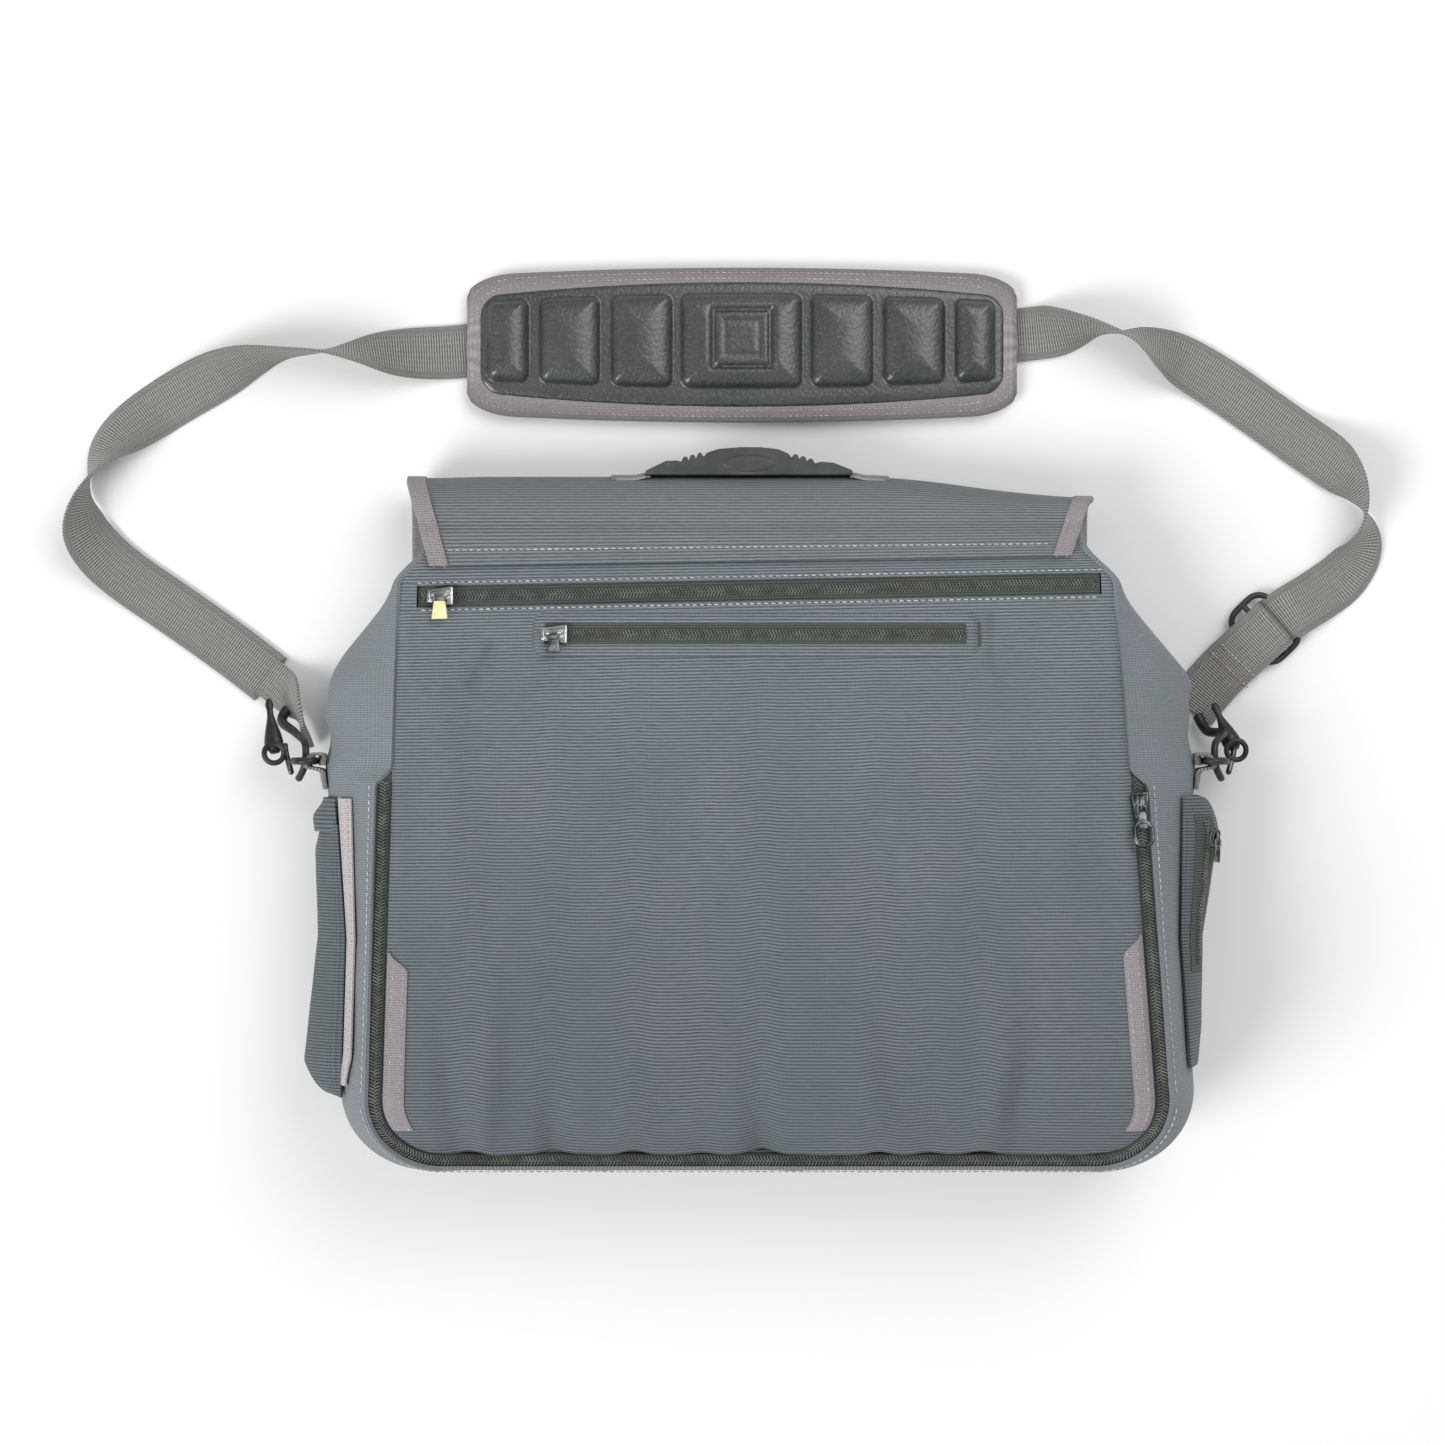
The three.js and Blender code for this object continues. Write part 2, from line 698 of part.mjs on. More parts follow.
function rightPocketLift(a, b) {
  const sides = clamp01(Math.min(a, 1 - a) * 5);
  const ends = clamp01(Math.min(b, 1 - b) * 8);
  return patchGap + pocketFabric + mix(...rightPocketDepth, b) * sides * ends;
}
const rightFace = [0.2, 0.86];
const coilTop = 0.12;
const coilRoll = -35;
addMesh(
  "right_pocket",
  gussetPatch(1, rightPocketTopY, rightPocketLowY, ...rightFace, rightPocketLift, pocketFabric, 10, 10),
  "canvas",
);
function rightPocketCoil() {
  const route = [];
  for (let i = 0; i <= 8; i += 1) {
    const b = mix(0.12, 0.62, i / 8);
    const y = mix(rightPocketTopY, rightPocketLowY, b);
    const u = mix(...rightFace, coilTop);
    route.push(gussetPoint(1, y, u, rightPocketLift(coilTop, b) + 3.4));
  }
  return ribbon(route, route.map(() => coilRoll), 3, coilHeight);
}
addMesh("right_pocket_coil", rightPocketCoil(), "coil");

// The right pocket's slider sits square on its coil, near the top.
function rightPocketSlider() {
  const u = mix(...rightFace, coilTop);
  const [upper, lower] = [0.16, 0.4].map((b) => {
    const y = mix(rightPocketTopY, rightPocketLowY, b);
    return gussetPoint(1, y, u, rightPocketLift(coilTop, b) + 3.4);
  });
  const along = lower.clone().sub(upper).normalize();
  const flat = new THREE.Vector3().crossVectors(up, along).normalize();
  const wide = flat.applyAxisAngle(along, THREE.MathUtils.degToRad(coilRoll));
  const normal = new THREE.Vector3().crossVectors(along, wide);
  const holder = new THREE.Group();
  holder.applyMatrix4(new THREE.Matrix4().makeBasis(along, wide, normal));
  holder.position.copy(upper).addScaledVector(normal, coilHeight / 2 + sliderGap);
  const body = addMesh("right_pocket_slider", plate(roundedShape(10, 7, 2.4), 2.2), "metal");
  const pull = addMesh("right_pocket_pull", plate(roundedShape(10, 5, 1.8), 1.1), "metal");
  pull.position.set(7, 0, 2.2 + clearance);
  holder.add(body, pull);
  group.add(holder);
}
rightPocketSlider();

// Ring tabs, D-rings and snap hooks
const ringY = 31;
const tabThickness = 1.4;
for (const [name, side] of [["left", -1], ["right", 1]]) {
  const lift = () => patchGap + tabThickness;
  const tab = gussetPatch(side, ringY + 2, ringY - 13.8, 0.3, 0.62, lift, tabThickness, 3, 3);
  addMesh(`${name}_ring_tab`, tab, "webbing");
}
const ringHeight = 34;
const ringOut = 8.5;
const ringX = (side) => gussetPoint(side, ringY, 0.45, ringOut).x;
addMesh("left_d_ring", dRing(-1, [ringX(-1), ringY, ringHeight]), "plastic");
addMesh("right_d_ring", dRing(1, [ringX(1), ringY, ringHeight]), "plastic");

function hookRoute(side, eye) {
  const x = ringX(side) + side * hookOffset;
  return [
    eye,
    [eye[0] + side * 4, eye[1] - 8, eye[2] + 5],
    [x + side * 6, ringY + 13, ringHeight - 12],
    [x, ringY + 8, ringHeight],
    [x, ringY - 2, ringHeight + 1],
    [x + side * 4, ringY - 9, ringHeight - 5],
  ];
}
const leftEye = [-226, 58, 5];
const rightEye = [207, 53, 5];
addMesh("left_hook", bar(hookRoute(-1, leftEye), hookWire, 18, 4), "plastic");
addMesh("right_hook", bar(hookRoute(1, rightEye), hookWire, 18, 4), "plastic");
for (const [name, side] of [["left", -1], ["right", 1]]) {
  const x = ringX(side) + side * hookOffset;
  const gate = bar(
    [
      [x + side * 7.5, ringY - 6.5, ringHeight - 9],
      [x + side * 10.5, ringY + 3, ringHeight - 12],
      [x + side * 11.6, ringY + 8, ringHeight - 14.5],
    ],
    1.4,
    4,
    3,
  );
  addMesh(`${name}_hook_gate`, gate, "metal");
}

// Strap. Each row is x, y and roll in degrees: at 90 the webbing stands on its edge.
const leftRoute = [
  [-143, 227, 0],
  [-160, 226, 6],
  [-178, 225.6, 28],
  [-196, 225.8, 62],
  [-212, 225.6, 84],
  [-230, 224.6, 96],
  [-246, 221, 122],
  [-262, 214.5, 152],
  [-279, 206, 172],
  [-295, 196, 184],
  [-309, 184, 208],
  [-319, 170, 248],
  [-324.5, 155, 280],
  [-324, 141, 318],
  [-316.5, 129, 345],
  [-304, 118, 358],
  [-288, 107, 360],
  [-270, 94.5, 360],
  [-252, 81.5, 360],
  [-236.5, 69.5, 360],
];
const rightRoute = [
  [122, 235, 0],
  [134, 235.8, 14],
  [147, 236.2, 52],
  [160, 236, 84],
  [173, 233.5, 104],
  [188, 227.6, 142],
  [203, 220.5, 172],
  [220, 210.4, 180],
  [238, 198, 180],
  [256, 185, 184],
  [270, 174, 206],
  [280.5, 161.5, 248],
  [286, 147, 286],
  [285, 132, 326],
  [277, 119, 350],
  [265, 110, 360],
  [253, 103.2, 360],
  [242.6, 95, 360],
];
const tailRoute = [
  [242, 94.5],
  [231, 85.3],
  [220.5, 74.5],
  [212, 65],
  [207.5, 58.5],
];

// The webbing lies on the ground, so it rises to half its width where it stands on edge.
function webbingRoute(rows) {
  const places = rows.map((row) => new THREE.Vector3(...row));
  const curve = new THREE.CatmullRomCurve3(places, false, "catmullrom");
  const fine = curve.getPoints((rows.length - 1) * 3);
  const points = fine.map((place) => {
    const edge = Math.abs(Math.sin(THREE.MathUtils.degToRad(place.z)));
    return new THREE.Vector3(place.x, place.y, (edge * webbing) / 2 + webbingThickness / 2 + 0.1);
  });
  return ribbon(points, fine.map((place) => place.z), webbing, webbingThickness);
}
addMesh("strap_left", webbingRoute(leftRoute), "webbing");
addMesh("strap_right", webbingRoute(rightRoute), "webbing");
const tailThickness = webbingThickness * 2;
const tailPoints = tailRoute.map(([x, y]) => new THREE.Vector3(x, y, tailThickness / 2 + 0.1));
addMesh("strap_tail", ribbon(tailPoints, tailRoute.map(() => 0), webbing, tailThickness), "webbing");

const glideShape = roundedShape(34, 28, 6);
for (const offset of [-7, 7]) {
  const slot = new THREE.Path();
  const [w, h] = [13.4, 3.6];
  slot.moveTo(-w, offset - h);
  slot.lineTo(w, offset - h);
  slot.lineTo(w, offset + h);
  slot.lineTo(-w, offset + h);
  slot.closePath();
  glideShape.holes.push(slot);
}
const glide = addMesh("tri_glide", plate(glideShape, 3), "plastic");
glide.position.set(241, 95, tailThickness + clearance);
glide.rotation.z = THREE.MathUtils.degToRad(-51);

// Shoulder pad: a bound base with a row of moulded pillows on it, joined by one thin skin.
function padHalf(x, length, width, endWidth) {
  const t = Math.abs(x) / (length / 2);
  const bow = mix(width / 2, endWidth / 2 + 10, t * t);
  const end = clamp01((Math.abs(x) - (length / 2 - 22)) / 22);
  return bow - (bow - endWidth / 2) * (1 - Math.sqrt(Math.max(0, 1 - end * end)));
}
function padSolid(length, width, endWidth, low, topAt, steps, sides) {
  const rings = [];
  for (let i = 0; i <= steps; i += 1) {
    const x = mix(-length / 2, length / 2, i / steps);
    const half = padHalf(x, length, width, endWidth);
    const ring = [];
    for (let k = 0; k <= sides; k += 1) {
      const y = mix(half, -half, k / sides);
      ring.push(new THREE.Vector3(padCentre[0] + x, padCentre[1] + y, topAt(x, y / half)));
    }
    ring.push(new THREE.Vector3(padCentre[0] + x, padCentre[1] - half, low));
    ring.push(new THREE.Vector3(padCentre[0] + x, padCentre[1] + half, low));
    rings.push(ring);
  }
  return skinRings(rings, false);
}
const padLow = webbingThickness + 0.6;
const webbingUnder = new THREE.BoxGeometry(padLength - 1, webbing, webbingThickness);
webbingUnder.translate(padCentre[0], padCentre[1] + 1.5, webbingThickness / 2 + 0.1);
addMesh("pad_webbing", webbingUnder, "webbing");
const baseTop = () => padLow + padThickness;
addMesh("pad_base", padSolid(padLength, padWidth, padEndWidth, padLow, baseTop, 16, 1), "binding");
const pillowPitch = 36;
const faceLow = padLow + padThickness + 0.3;
const pillowTop = (x, across) => {
  const groove = Math.abs(Math.sin((Math.PI * (x + pillowPitch / 2)) / pillowPitch)) ** 0.5;
  const crown = 1 - Math.abs(across) ** 3;
  return faceLow + 1 + (pillowHeight - 1) * groove * crown;
};
addMesh(
  "pad_cushion",
  padSolid(padLength - 15, padWidth - 15, padEndWidth - 14, faceLow, pillowTop, 42, 6),
  "padFace",
);

export default group;
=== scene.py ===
from math import atan, atan2, copysign, cos, exp, hypot, pi, radians, sin, sqrt, tau

import bpy
from mathutils import Matrix, Vector, noise


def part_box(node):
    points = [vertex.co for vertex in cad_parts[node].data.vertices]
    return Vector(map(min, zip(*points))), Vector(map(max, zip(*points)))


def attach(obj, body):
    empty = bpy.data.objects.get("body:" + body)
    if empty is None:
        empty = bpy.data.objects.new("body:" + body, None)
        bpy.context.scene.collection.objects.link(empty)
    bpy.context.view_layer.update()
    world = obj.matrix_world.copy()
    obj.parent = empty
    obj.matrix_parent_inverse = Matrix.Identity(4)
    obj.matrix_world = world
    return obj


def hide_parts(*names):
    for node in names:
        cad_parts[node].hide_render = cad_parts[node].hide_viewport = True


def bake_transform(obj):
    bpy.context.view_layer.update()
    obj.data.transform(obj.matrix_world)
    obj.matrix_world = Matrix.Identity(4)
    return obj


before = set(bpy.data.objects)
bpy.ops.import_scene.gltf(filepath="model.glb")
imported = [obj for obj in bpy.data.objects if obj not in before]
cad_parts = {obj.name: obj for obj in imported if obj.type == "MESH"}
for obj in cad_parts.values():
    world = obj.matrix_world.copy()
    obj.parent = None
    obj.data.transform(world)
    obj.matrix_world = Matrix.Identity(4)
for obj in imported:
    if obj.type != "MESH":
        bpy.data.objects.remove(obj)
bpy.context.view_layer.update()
mm = 0.001
up = Vector((0, 0, 1))

# camera and light
cameraSet = {"x": -0.020, "y": 0.049, "height": 1.4, "lens": 72.66, "sensor": 36.0}
lightSet = {
    "key": {"place": (-2.3, -1.5, 2.4), "aim": (0, 0.03, 0.03), "size": 1.9, "power": 79.0},
    "fill": {"place": (0.75, 0.95, 1.5), "aim": (0, 0.05, 0.05), "size": 1.5, "power": 15.5},
    "sky": 0.43,
    "floorSize": 9.0,
}

bpy.ops.object.select_all(action="DESELECT")
bpy.ops.object.camera_add(
    location=(cameraSet["x"], cameraSet["y"], cameraSet["height"]), rotation=(0, 0, 0)
)
camera = bpy.context.object
camera.data.lens = cameraSet["lens"]
camera.data.sensor_width = cameraSet["sensor"]
bpy.context.scene.camera = camera
bpy.context.scene.view_settings.view_transform = "Standard"

for lightName in ("key", "fill"):
    spec = lightSet[lightName]
    bpy.ops.object.light_add(type="AREA", location=spec["place"])
    lamp = bpy.context.object
    lamp.name = lightName + "Softbox"
    lamp.data.shape = "DISK"
    lamp.data.size = spec["size"]
    lamp.data.energy = spec["power"]
    aim = Vector(spec["aim"]) - Vector(spec["place"])
    lamp.rotation_euler = aim.to_track_quat("-Z", "Y").to_euler()


# small helpers
def linear(hexColour):
    parts = [int(hexColour[i:i + 2], 16) / 255 for i in (1, 3, 5)]
    turned = [c / 12.92 if c <= 0.04045 else ((c + 0.055) / 1.055) ** 2.4 for c in parts]
    return (*turned, 1.0)


def mix(a, b, t):
    return a + (b - a) * t


def clamp01(t):
    return min(1.0, max(0.0, t))


def smooth(t):
    t = clamp01(t)
    return t * t * (3 - 2 * t)


def rolledEdge(away, deep, reach):
    # how far cloth drops where it turns in at an edge
    return -deep * (1 - clamp01(away / reach)) ** 2


def quarterRound(share):
    # a quarter round that rises from 0 to 1
    return sqrt(1 - (1 - share) ** 2)


def heldEdges(a, steep):
    # cloth that is sewn down at both edges and stands away between them
    return sqrt(clamp01(min(a, 1 - a) * steep))


def addNode(tree, kind, inputs=None, **settings):
    node = tree.nodes.new("ShaderNode" + kind)
    for key, value in settings.items():
        setattr(node, key, value)
    for key, value in (inputs or {}).items():
        if isinstance(value, bpy.types.NodeSocket):
            tree.links.new(value, node.inputs[key])
        else:
            node.inputs[key].default_value = value
    return node


def startMaterial(name, slotName, **sockets):
    material = bpy.data.materials.new(name)
    material.use_nodes = True
    tree = material.node_tree
    tree.nodes.clear()
    shader = addNode(tree, "BsdfPrincipled", sockets)
    addNode(tree, "OutputMaterial", {"Surface": shader.outputs[0]})
    return material, tree, shader


def linkSurface(tree, shader, colour, bump, roughness=None):
    tree.links.new(colour, shader.inputs["Base Color"])
    if roughness:
        tree.links.new(roughness, shader.inputs["Roughness"])
    tree.links.new(bump.outputs[0], shader.inputs["Normal"])


def colourMix(tree, factor, first, second, blendType="MIX"):
    node = addNode(tree, "Mix", {0: factor, 6: first, 7: second}, data_type="RGBA")
    node.blend_type = blendType
    return node.outputs[2]


def join(tree, operation, first, second, third=None):
    inputs = {0: first, 1: second}
    if third is not None:
        inputs[2] = third
    return addNode(tree, "Math", inputs, operation=operation).outputs[0]


# A wave texture makes one band in this many times its scale.
bandSpan = pi / 10


# materials
# Webbing's cross ribs turn to run slantwise in a band along both edges.
def selvedgeTurn(tree, cut, halfWidth, band, slant):
    flat = addNode(tree, "SeparateXYZ", {0: cut}).outputs
    offMiddle = join(tree, "ABSOLUTE", join(tree, "SUBTRACT", flat[0], halfWidth * mm), 0)
    intoBand = join(tree, "MAXIMUM", join(tree, "SUBTRACT", offMiddle, (halfWidth - band) * mm), 0)
    along = join(tree, "MULTIPLY_ADD", intoBand, slant, flat[1])
    return addNode(tree, "CombineXYZ", {0: flat[0], 1: along}).outputs[0]


# Woven cloth reads the piece's own UV map, which is the flat cut in metres:
# v runs across the ribs and u along them.
def wovenCloth(name, slotName, look):
    material, tree, shader = startMaterial(name, slotName, **{
        "Roughness": look["rough"], "Sheen Weight": look["sheen"], "Sheen Roughness": 0.5,
        "Specular IOR Level": 0.25})
    cut = addNode(tree, "UVMap", uv_map="cut").outputs[0]
    if "selvedge" in look:
        cut = selvedgeTurn(tree, cut, *look["selvedge"])
    ribs, cross = (
        addNode(
            tree, "TexWave",
            {"Vector": cut, "Scale": bandSpan / (look[pitch] * mm), "Distortion": wander,
             "Detail": detail, "Detail Scale": detailScale}, bands_direction=axis).outputs["Fac"]
        for pitch, wander, detail, detailScale, axis in (
            ("rib", look["wander"], 2.0, 0.35, "Y"), ("thread", 1.2, 1.0, 0.6, "X")))
    stretched = addNode(
        tree, "Mapping",
        {"Vector": cut, "Scale": (1 / (look["slub"][0] * mm), 1 / (look["slub"][1] * mm), 1)})
    slubs = addNode(
        tree, "TexNoise",
        {"Vector": stretched.outputs[0], "Scale": 1.0, "Detail": 2.0, "Roughness": 0.6})
    mottle = addNode(
        tree, "TexNoise",
        {"Vector": cut, "Scale": 1 / (55 * mm), "Detail": 3.0, "Roughness": 0.55})
    # rib tops catch the light, the valleys between them and the thin warp ends are darker
    weave = join(tree, "MULTIPLY_ADD", ribs, look["ribShare"], join(
        tree, "MULTIPLY", cross, look["crossShare"]))
    slubbed = join(tree, "MULTIPLY_ADD", slubs.outputs["Fac"], look["slubShare"], weave)
    tone = addNode(
        tree, "MapRange",
        {"Value": slubbed, "From Min": 0.22, "From Max": 0.92}).outputs[0]
    colour = colourMix(tree, tone, linear(look["dark"]), linear(look["light"]))
    cloudy = addNode(
        tree, "MapRange",
        {"Value": mottle.outputs["Fac"], "From Min": 0.3, "From Max": 0.7, "To Max": 0.35})
    tinted = colourMix(tree, cloudy.outputs[0], colour, linear(look["tint"]))
    # painted shade: the cloth is coloured darker towards the bag's bottom
    place = addNode(tree, "SeparateXYZ", {
        0: addNode(tree, "TexCoord").outputs["Object"]}).outputs[1]
    paintedBottomShade = addNode(
        tree, "MapRange",
        {"Value": place, "From Min": 0.09, "From Max": -0.15, "To Max": look["bottomShade"]})
    tinted = colourMix(tree, paintedBottomShade.outputs[0], tinted, linear(look["dark"]))
    height = join(tree, "MULTIPLY_ADD", ribs, 1.0, join(tree, "MULTIPLY", cross, 0.3))
    rough = join(tree, "MULTIPLY_ADD", slubs.outputs["Fac"], 0.5, height)
    bump = addNode(
        tree, "Bump",
        {"Height": rough, "Strength": look["bump"], "Distance": look["depth"] * mm})
    linkSurface(tree, shader, tinted, bump)
    return material


clothBase = {
    "rough": 0.86, "sheen": 0.12, "rib": 1.53, "thread": 0.9, "slub": (6, 0.6), "wander": 0.3,
    "ribShare": 0.55, "crossShare": 0.2, "slubShare": 0.45, "bump": 0.8, "depth": 0.3, "bottomShade": 0.0,
}
# Polyester canvas, ribbed weave with a dull coating: soft light lines over blue-grey.
# This canvas is painted with shade that darkens it towards the bag's bottom.
ribbedCanvas = wovenCloth("ribbed polyester canvas", "canvas", {
    **clothBase, "light": "#949ca2", "dark": "#3c444a", "tint": "#606c6c", "bottomShade": 0.36})
# The side pockets' canvas is cut from a darker roll.
pocketCanvas = wovenCloth("pocket polyester canvas", "canvas", {
    **clothBase, "light": "#7b8388", "dark": "#333b40", "tint": "#4f5b5a"})
# The flap's canvas is a little greyer where it has been handled.
flapCanvas = wovenCloth("flap polyester canvas", "canvas", {
    **clothBase, "light": "#93989c", "dark": "#464c51", "tint": "#676e6e"})
# The same canvas turned a quarter on the gussets, so its finer side shows.
gussetCanvas = wovenCloth("gusset polyester canvas", "gusset_canvas", {
    **clothBase, "light": "#9aa1a6", "dark": "#697178", "tint": "#78817f",
    "rib": 1.2, "thread": 1.6, "slub": (5, 0.6), "ribShare": 0.4, "depth": 0.22})
# Nylon pack lining, plain woven: fine and slightly shiny.
liningNylon = wovenCloth("plain woven nylon lining", "lining", {
    **clothBase, "light": "#5c6166", "dark": "#3c4044", "tint": "#4a4e52", "rough": 0.6,
    "rib": 1.1, "thread": 1.1, "depth": 0.1, "sheen": 0.2})
# Grosgrain binding: mauve-grey, with fine ribs straight across the tape.
tapeBase = {
    **clothBase, "rib": 1.1, "thread": 1.3, "slub": (1.8, 0.9), "ribShare": 0.3,
    "slubShare": 0.7, "wander": 0.5}
bindingTape = wovenCloth("woven grosgrain binding", "edge_binding", {
    **tapeBase, "light": "#b3adb0", "dark": "#767074", "tint": "#979196"})
# The left pocket's binding is the same tape in a paler copy: light painted onto its slanted face.
paintedLightTape = wovenCloth("grosgrain binding with painted light", "edge_binding", {
    **tapeBase, "light": "#dad3d4", "dark": "#a49d9f", "tint": "#c1babc"})
# Nylon strap webbing, 25 mm flat weave: warm grey with cross ribs.
strapWebbing = wovenCloth("flat woven nylon webbing", "webbing", {
    **clothBase, "light": "#b2b2ad", "dark": "#545551", "tint": "#828380", "rough": 0.7,
    "rib": 1.25, "thread": 2.6, "slub": (4, 0.9), "ribShare": 0.7, "crossShare": 0.12,
    "slubShare": 0.35, "wander": 0.2, "depth": 0.4, "sheen": 0.2, "selvedge": (12.7, 3.4, 1.5)})
# Knitted zip tape, dark grey-green. The hook and loop tapes take it too.
zipTapeCloth = wovenCloth("knitted polyester zip tape", "zip_tape", {
    **clothBase, "light": "#656b66", "dark": "#343936", "tint": "#484e49",
    "rib": 1.2, "slub": (2, 0.6), "depth": 0.2})


# Hard and moulded things read Object coordinates.
def mouldedPlastic(name, slotName, look):
    material, tree, shader = startMaterial(name, slotName, **{
        "IOR": look["ior"], "Metallic": look["metal"], "Specular IOR Level": look["specular"]})
    place = addNode(tree, "TexCoord").outputs["Object"]
    grain = addNode(
        tree, "TexNoise",
        {"Vector": place, "Scale": 1 / (look["grain"] * mm), "Detail": 3.0, "Roughness": 0.6})
    handling = addNode(
        tree, "TexNoise",
        {"Vector": place, "Scale": 1 / (look["wear"] * mm), "Detail": 4.0, "Roughness": 0.65})
    worn = addNode(
        tree, "MapRange",
        {"Value": handling.outputs["Fac"], "From Min": 0.42, "From Max": 0.68})
    colour = colourMix(tree, worn.outputs[0], linear(look["dark"]), linear(look["light"]))
    shine = addNode(
        tree, "MapRange",
        {"Value": worn.outputs[0], "To Min": look["rough"][0], "To Max": look["rough"][1]})
    bump = addNode(
        tree, "Bump",
        {"Height": grain.outputs["Fac"], "Strength": look["bump"], "Distance": 0.12 * mm})
    linkSurface(tree, shader, colour, bump, shine.outputs[0])
    return material


mouldBase = {"ior": 1.48, "metal": 0.0, "specular": 0.5, "grain": 0.5, "wear": 9, "bump": 0.35}
# Acetal buckles and hooks, injection moulded: black, a little glossy.
blackAcetal = mouldedPlastic("moulded black acetal", "black_plastic", {
    **mouldBase, "dark": "#1f2022", "light": "#34363a", "rough": (0.34, 0.48)})
# The grip is a soft moulded rubber with a fine spark-eroded grain.
gripRubber = mouldedPlastic("moulded grip rubber", "grip_rubber", {
    **mouldBase, "dark": "#3a3d3e", "light": "#4f5354", "rough": (0.55, 0.7), "bump": 0.6})
# The oval on the grip's face is the same rubber from a smoother part of the mould.
smoothRubber = mouldedPlastic("smooth grip rubber", "grip_rubber", {
    **mouldBase, "dark": "#3d3e3d", "light": "#4b4c4a", "rough": (0.42, 0.55), "bump": 0.3})
# Die-cast zinc plated dark gunmetal, worn brighter where it is pulled.
gunmetal = mouldedPlastic("gunmetal plated zinc", "dark_metal", {
    **mouldBase, "ior": 1.5, "dark": "#45484b", "light": "#8f9293", "metal": 0.9,
    "rough": (0.28, 0.42), "wear": 5, "bump": 0.08})
# The back's two sliders are the same casting in bright nickel plate.
brightNickel = mouldedPlastic("nickel plated zinc", "dark_metal", {
    **mouldBase, "ior": 1.5, "dark": "#a3a6a6", "light": "#dfe1df", "metal": 0.85,
    "rough": (0.24, 0.34), "wear": 6, "bump": 0.06})
# Nylon monofilament coil, grey and slightly glossy.
coilNylon = mouldedPlastic("nylon coil filament", "zip_coil", {
    **mouldBase, "dark": "#63655f", "light": "#8d8f86", "rough": (0.36, 0.46), "wear": 7,
    "bump": 0.15})
# Pull tab in soft pale yellow PVC, dipped.
yellowRubber = mouldedPlastic("pale yellow soft PVC", "yellow_tab", {
    **mouldBase, "dark": "#f3e7a3", "light": "#fff8cc", "rough": (0.45, 0.55), "wear": 5})
# Spun polyester thread, dull and a little hairy: pale grey on the canvas, beige in the
# strap's box stitch, mauve on the bindings.
threadBase = {**mouldBase, "rough": (0.7, 0.8), "grain": 0.3, "wear": 6, "specular": 0.25}
paleThread = mouldedPlastic("pale spun polyester thread", "canvas", {
    **threadBase, "dark": "#b3b5b5", "light": "#e3e3e0"})
beigeThread = mouldedPlastic("beige spun polyester thread", "webbing", {
    **threadBase, "dark": "#b09f93", "light": "#d8c8bb"})
mauveThread = mouldedPlastic("mauve spun polyester thread", "edge_binding", {
    **threadBase, "dark": "#a59a9e", "light": "#d2c8cb"})


# The shoulder pad's face: thermoformed vinyl over foam, with a pebbled leather grain.
def pebbledVinyl(look):
    material, tree, shader = startMaterial("thermoformed pebbled vinyl", "pad_face", **{
        "IOR": 1.5, "Specular IOR Level": 0.8, "Coat Weight": 0.5, "Coat Roughness": 0.27})
    place = addNode(tree, "TexCoord").outputs["Object"]
    pebbles = addNode(
        tree, "TexVoronoi",
        {"Vector": place, "Scale": 1 / (look["pebble"] * mm)}, feature="SMOOTH_F1")
    creases = addNode(
        tree, "TexNoise",
        {"Vector": place, "Scale": 1 / (3.2 * mm), "Detail": 4.0, "Roughness": 0.7})
    clouds = addNode(tree, "TexNoise", {"Vector": place, "Scale": 1 / (26 * mm), "Detail": 3.0})
    pebbleHeight = pebbles.outputs["Distance"]
    colour = colourMix(tree, pebbleHeight, linear(look["light"]), linear(look["dark"]))
    faded = addNode(
        tree, "MapRange",
        {"Value": clouds.outputs["Fac"], "From Min": 0.35, "From Max": 0.7, "To Max": 0.3})
    dusted = colourMix(tree, faded.outputs[0], colour, linear(look["dust"]))
    height = join(tree, "MULTIPLY_ADD", pebbleHeight, -1.0, creases.outputs["Fac"])
    shine = addNode(
        tree, "MapRange",
        {"Value": creases.outputs["Fac"], "To Min": 0.26, "To Max": 0.46})
    bump = addNode(tree, "Bump", {"Height": height, "Strength": 0.75, "Distance": 0.3 * mm})
    linkSurface(tree, shader, dusted, bump, shine.outputs[0])
    return material


padVinyl = pebbledVinyl({"pebble": 1.6, "light": "#3c4140", "dark": "#1a1d1e", "dust": "#565a57"})

print("materials ready")

# floor
bpy.ops.object.select_all(action="DESELECT")
bpy.ops.mesh.primitive_plane_add(size=lightSet["floorSize"], location=(0, 0, -0.0004))
floor = bpy.context.object
floor.name = "studioFloor"
# Matt white painted board
floorPaint, floorTree, floorShader = startMaterial("matt white board", None, Roughness=0.9)
floorPlace = addNode(floorTree, "TexCoord").outputs["Object"]
floorNoise = addNode(floorTree, "TexNoise", {"Vector": floorPlace, "Scale": 3.0})
floorTree.links.new(
    colourMix(floorTree, floorNoise.outputs["Fac"], linear("#fafafa"), linear("#fdfdfd")),
    floorShader.inputs["Base Color"])
floor.data.materials.append(floorPaint)

world = bpy.data.worlds.new("softRoom")
bpy.context.scene.world = world
world.use_nodes = True
world.node_tree.nodes["Background"].inputs["Color"].default_value = (1, 1, 1, 1)
world.node_tree.nodes["Background"].inputs["Strength"].default_value = lightSet["sky"]

# shape of the bag, in mm
bag = {
    "bottomY": -146.5, "mouthY": 143.0, "lowHeight": 95.0, "mouthHeight": 44.0, "lowEndY": -118.0,
    "rollDrop": 16.0, "halfTop": 165.5, "halfBottom": 174.5, "shiftTop": -4.7, "shiftBottom": 1.3,
    "corner": 26.0, "sideBulge": 32.0, "bottomBulge": 4.0, "groove": 7.4, "shutGroove": 2.6,
    "laptopZipTop": 21.0, "topDraw": 15.0, "fold": 0.4,
}
cornerY = bag["bottomY"] + bag["corner"]
bagMiddle = Vector((0, 0, 45))


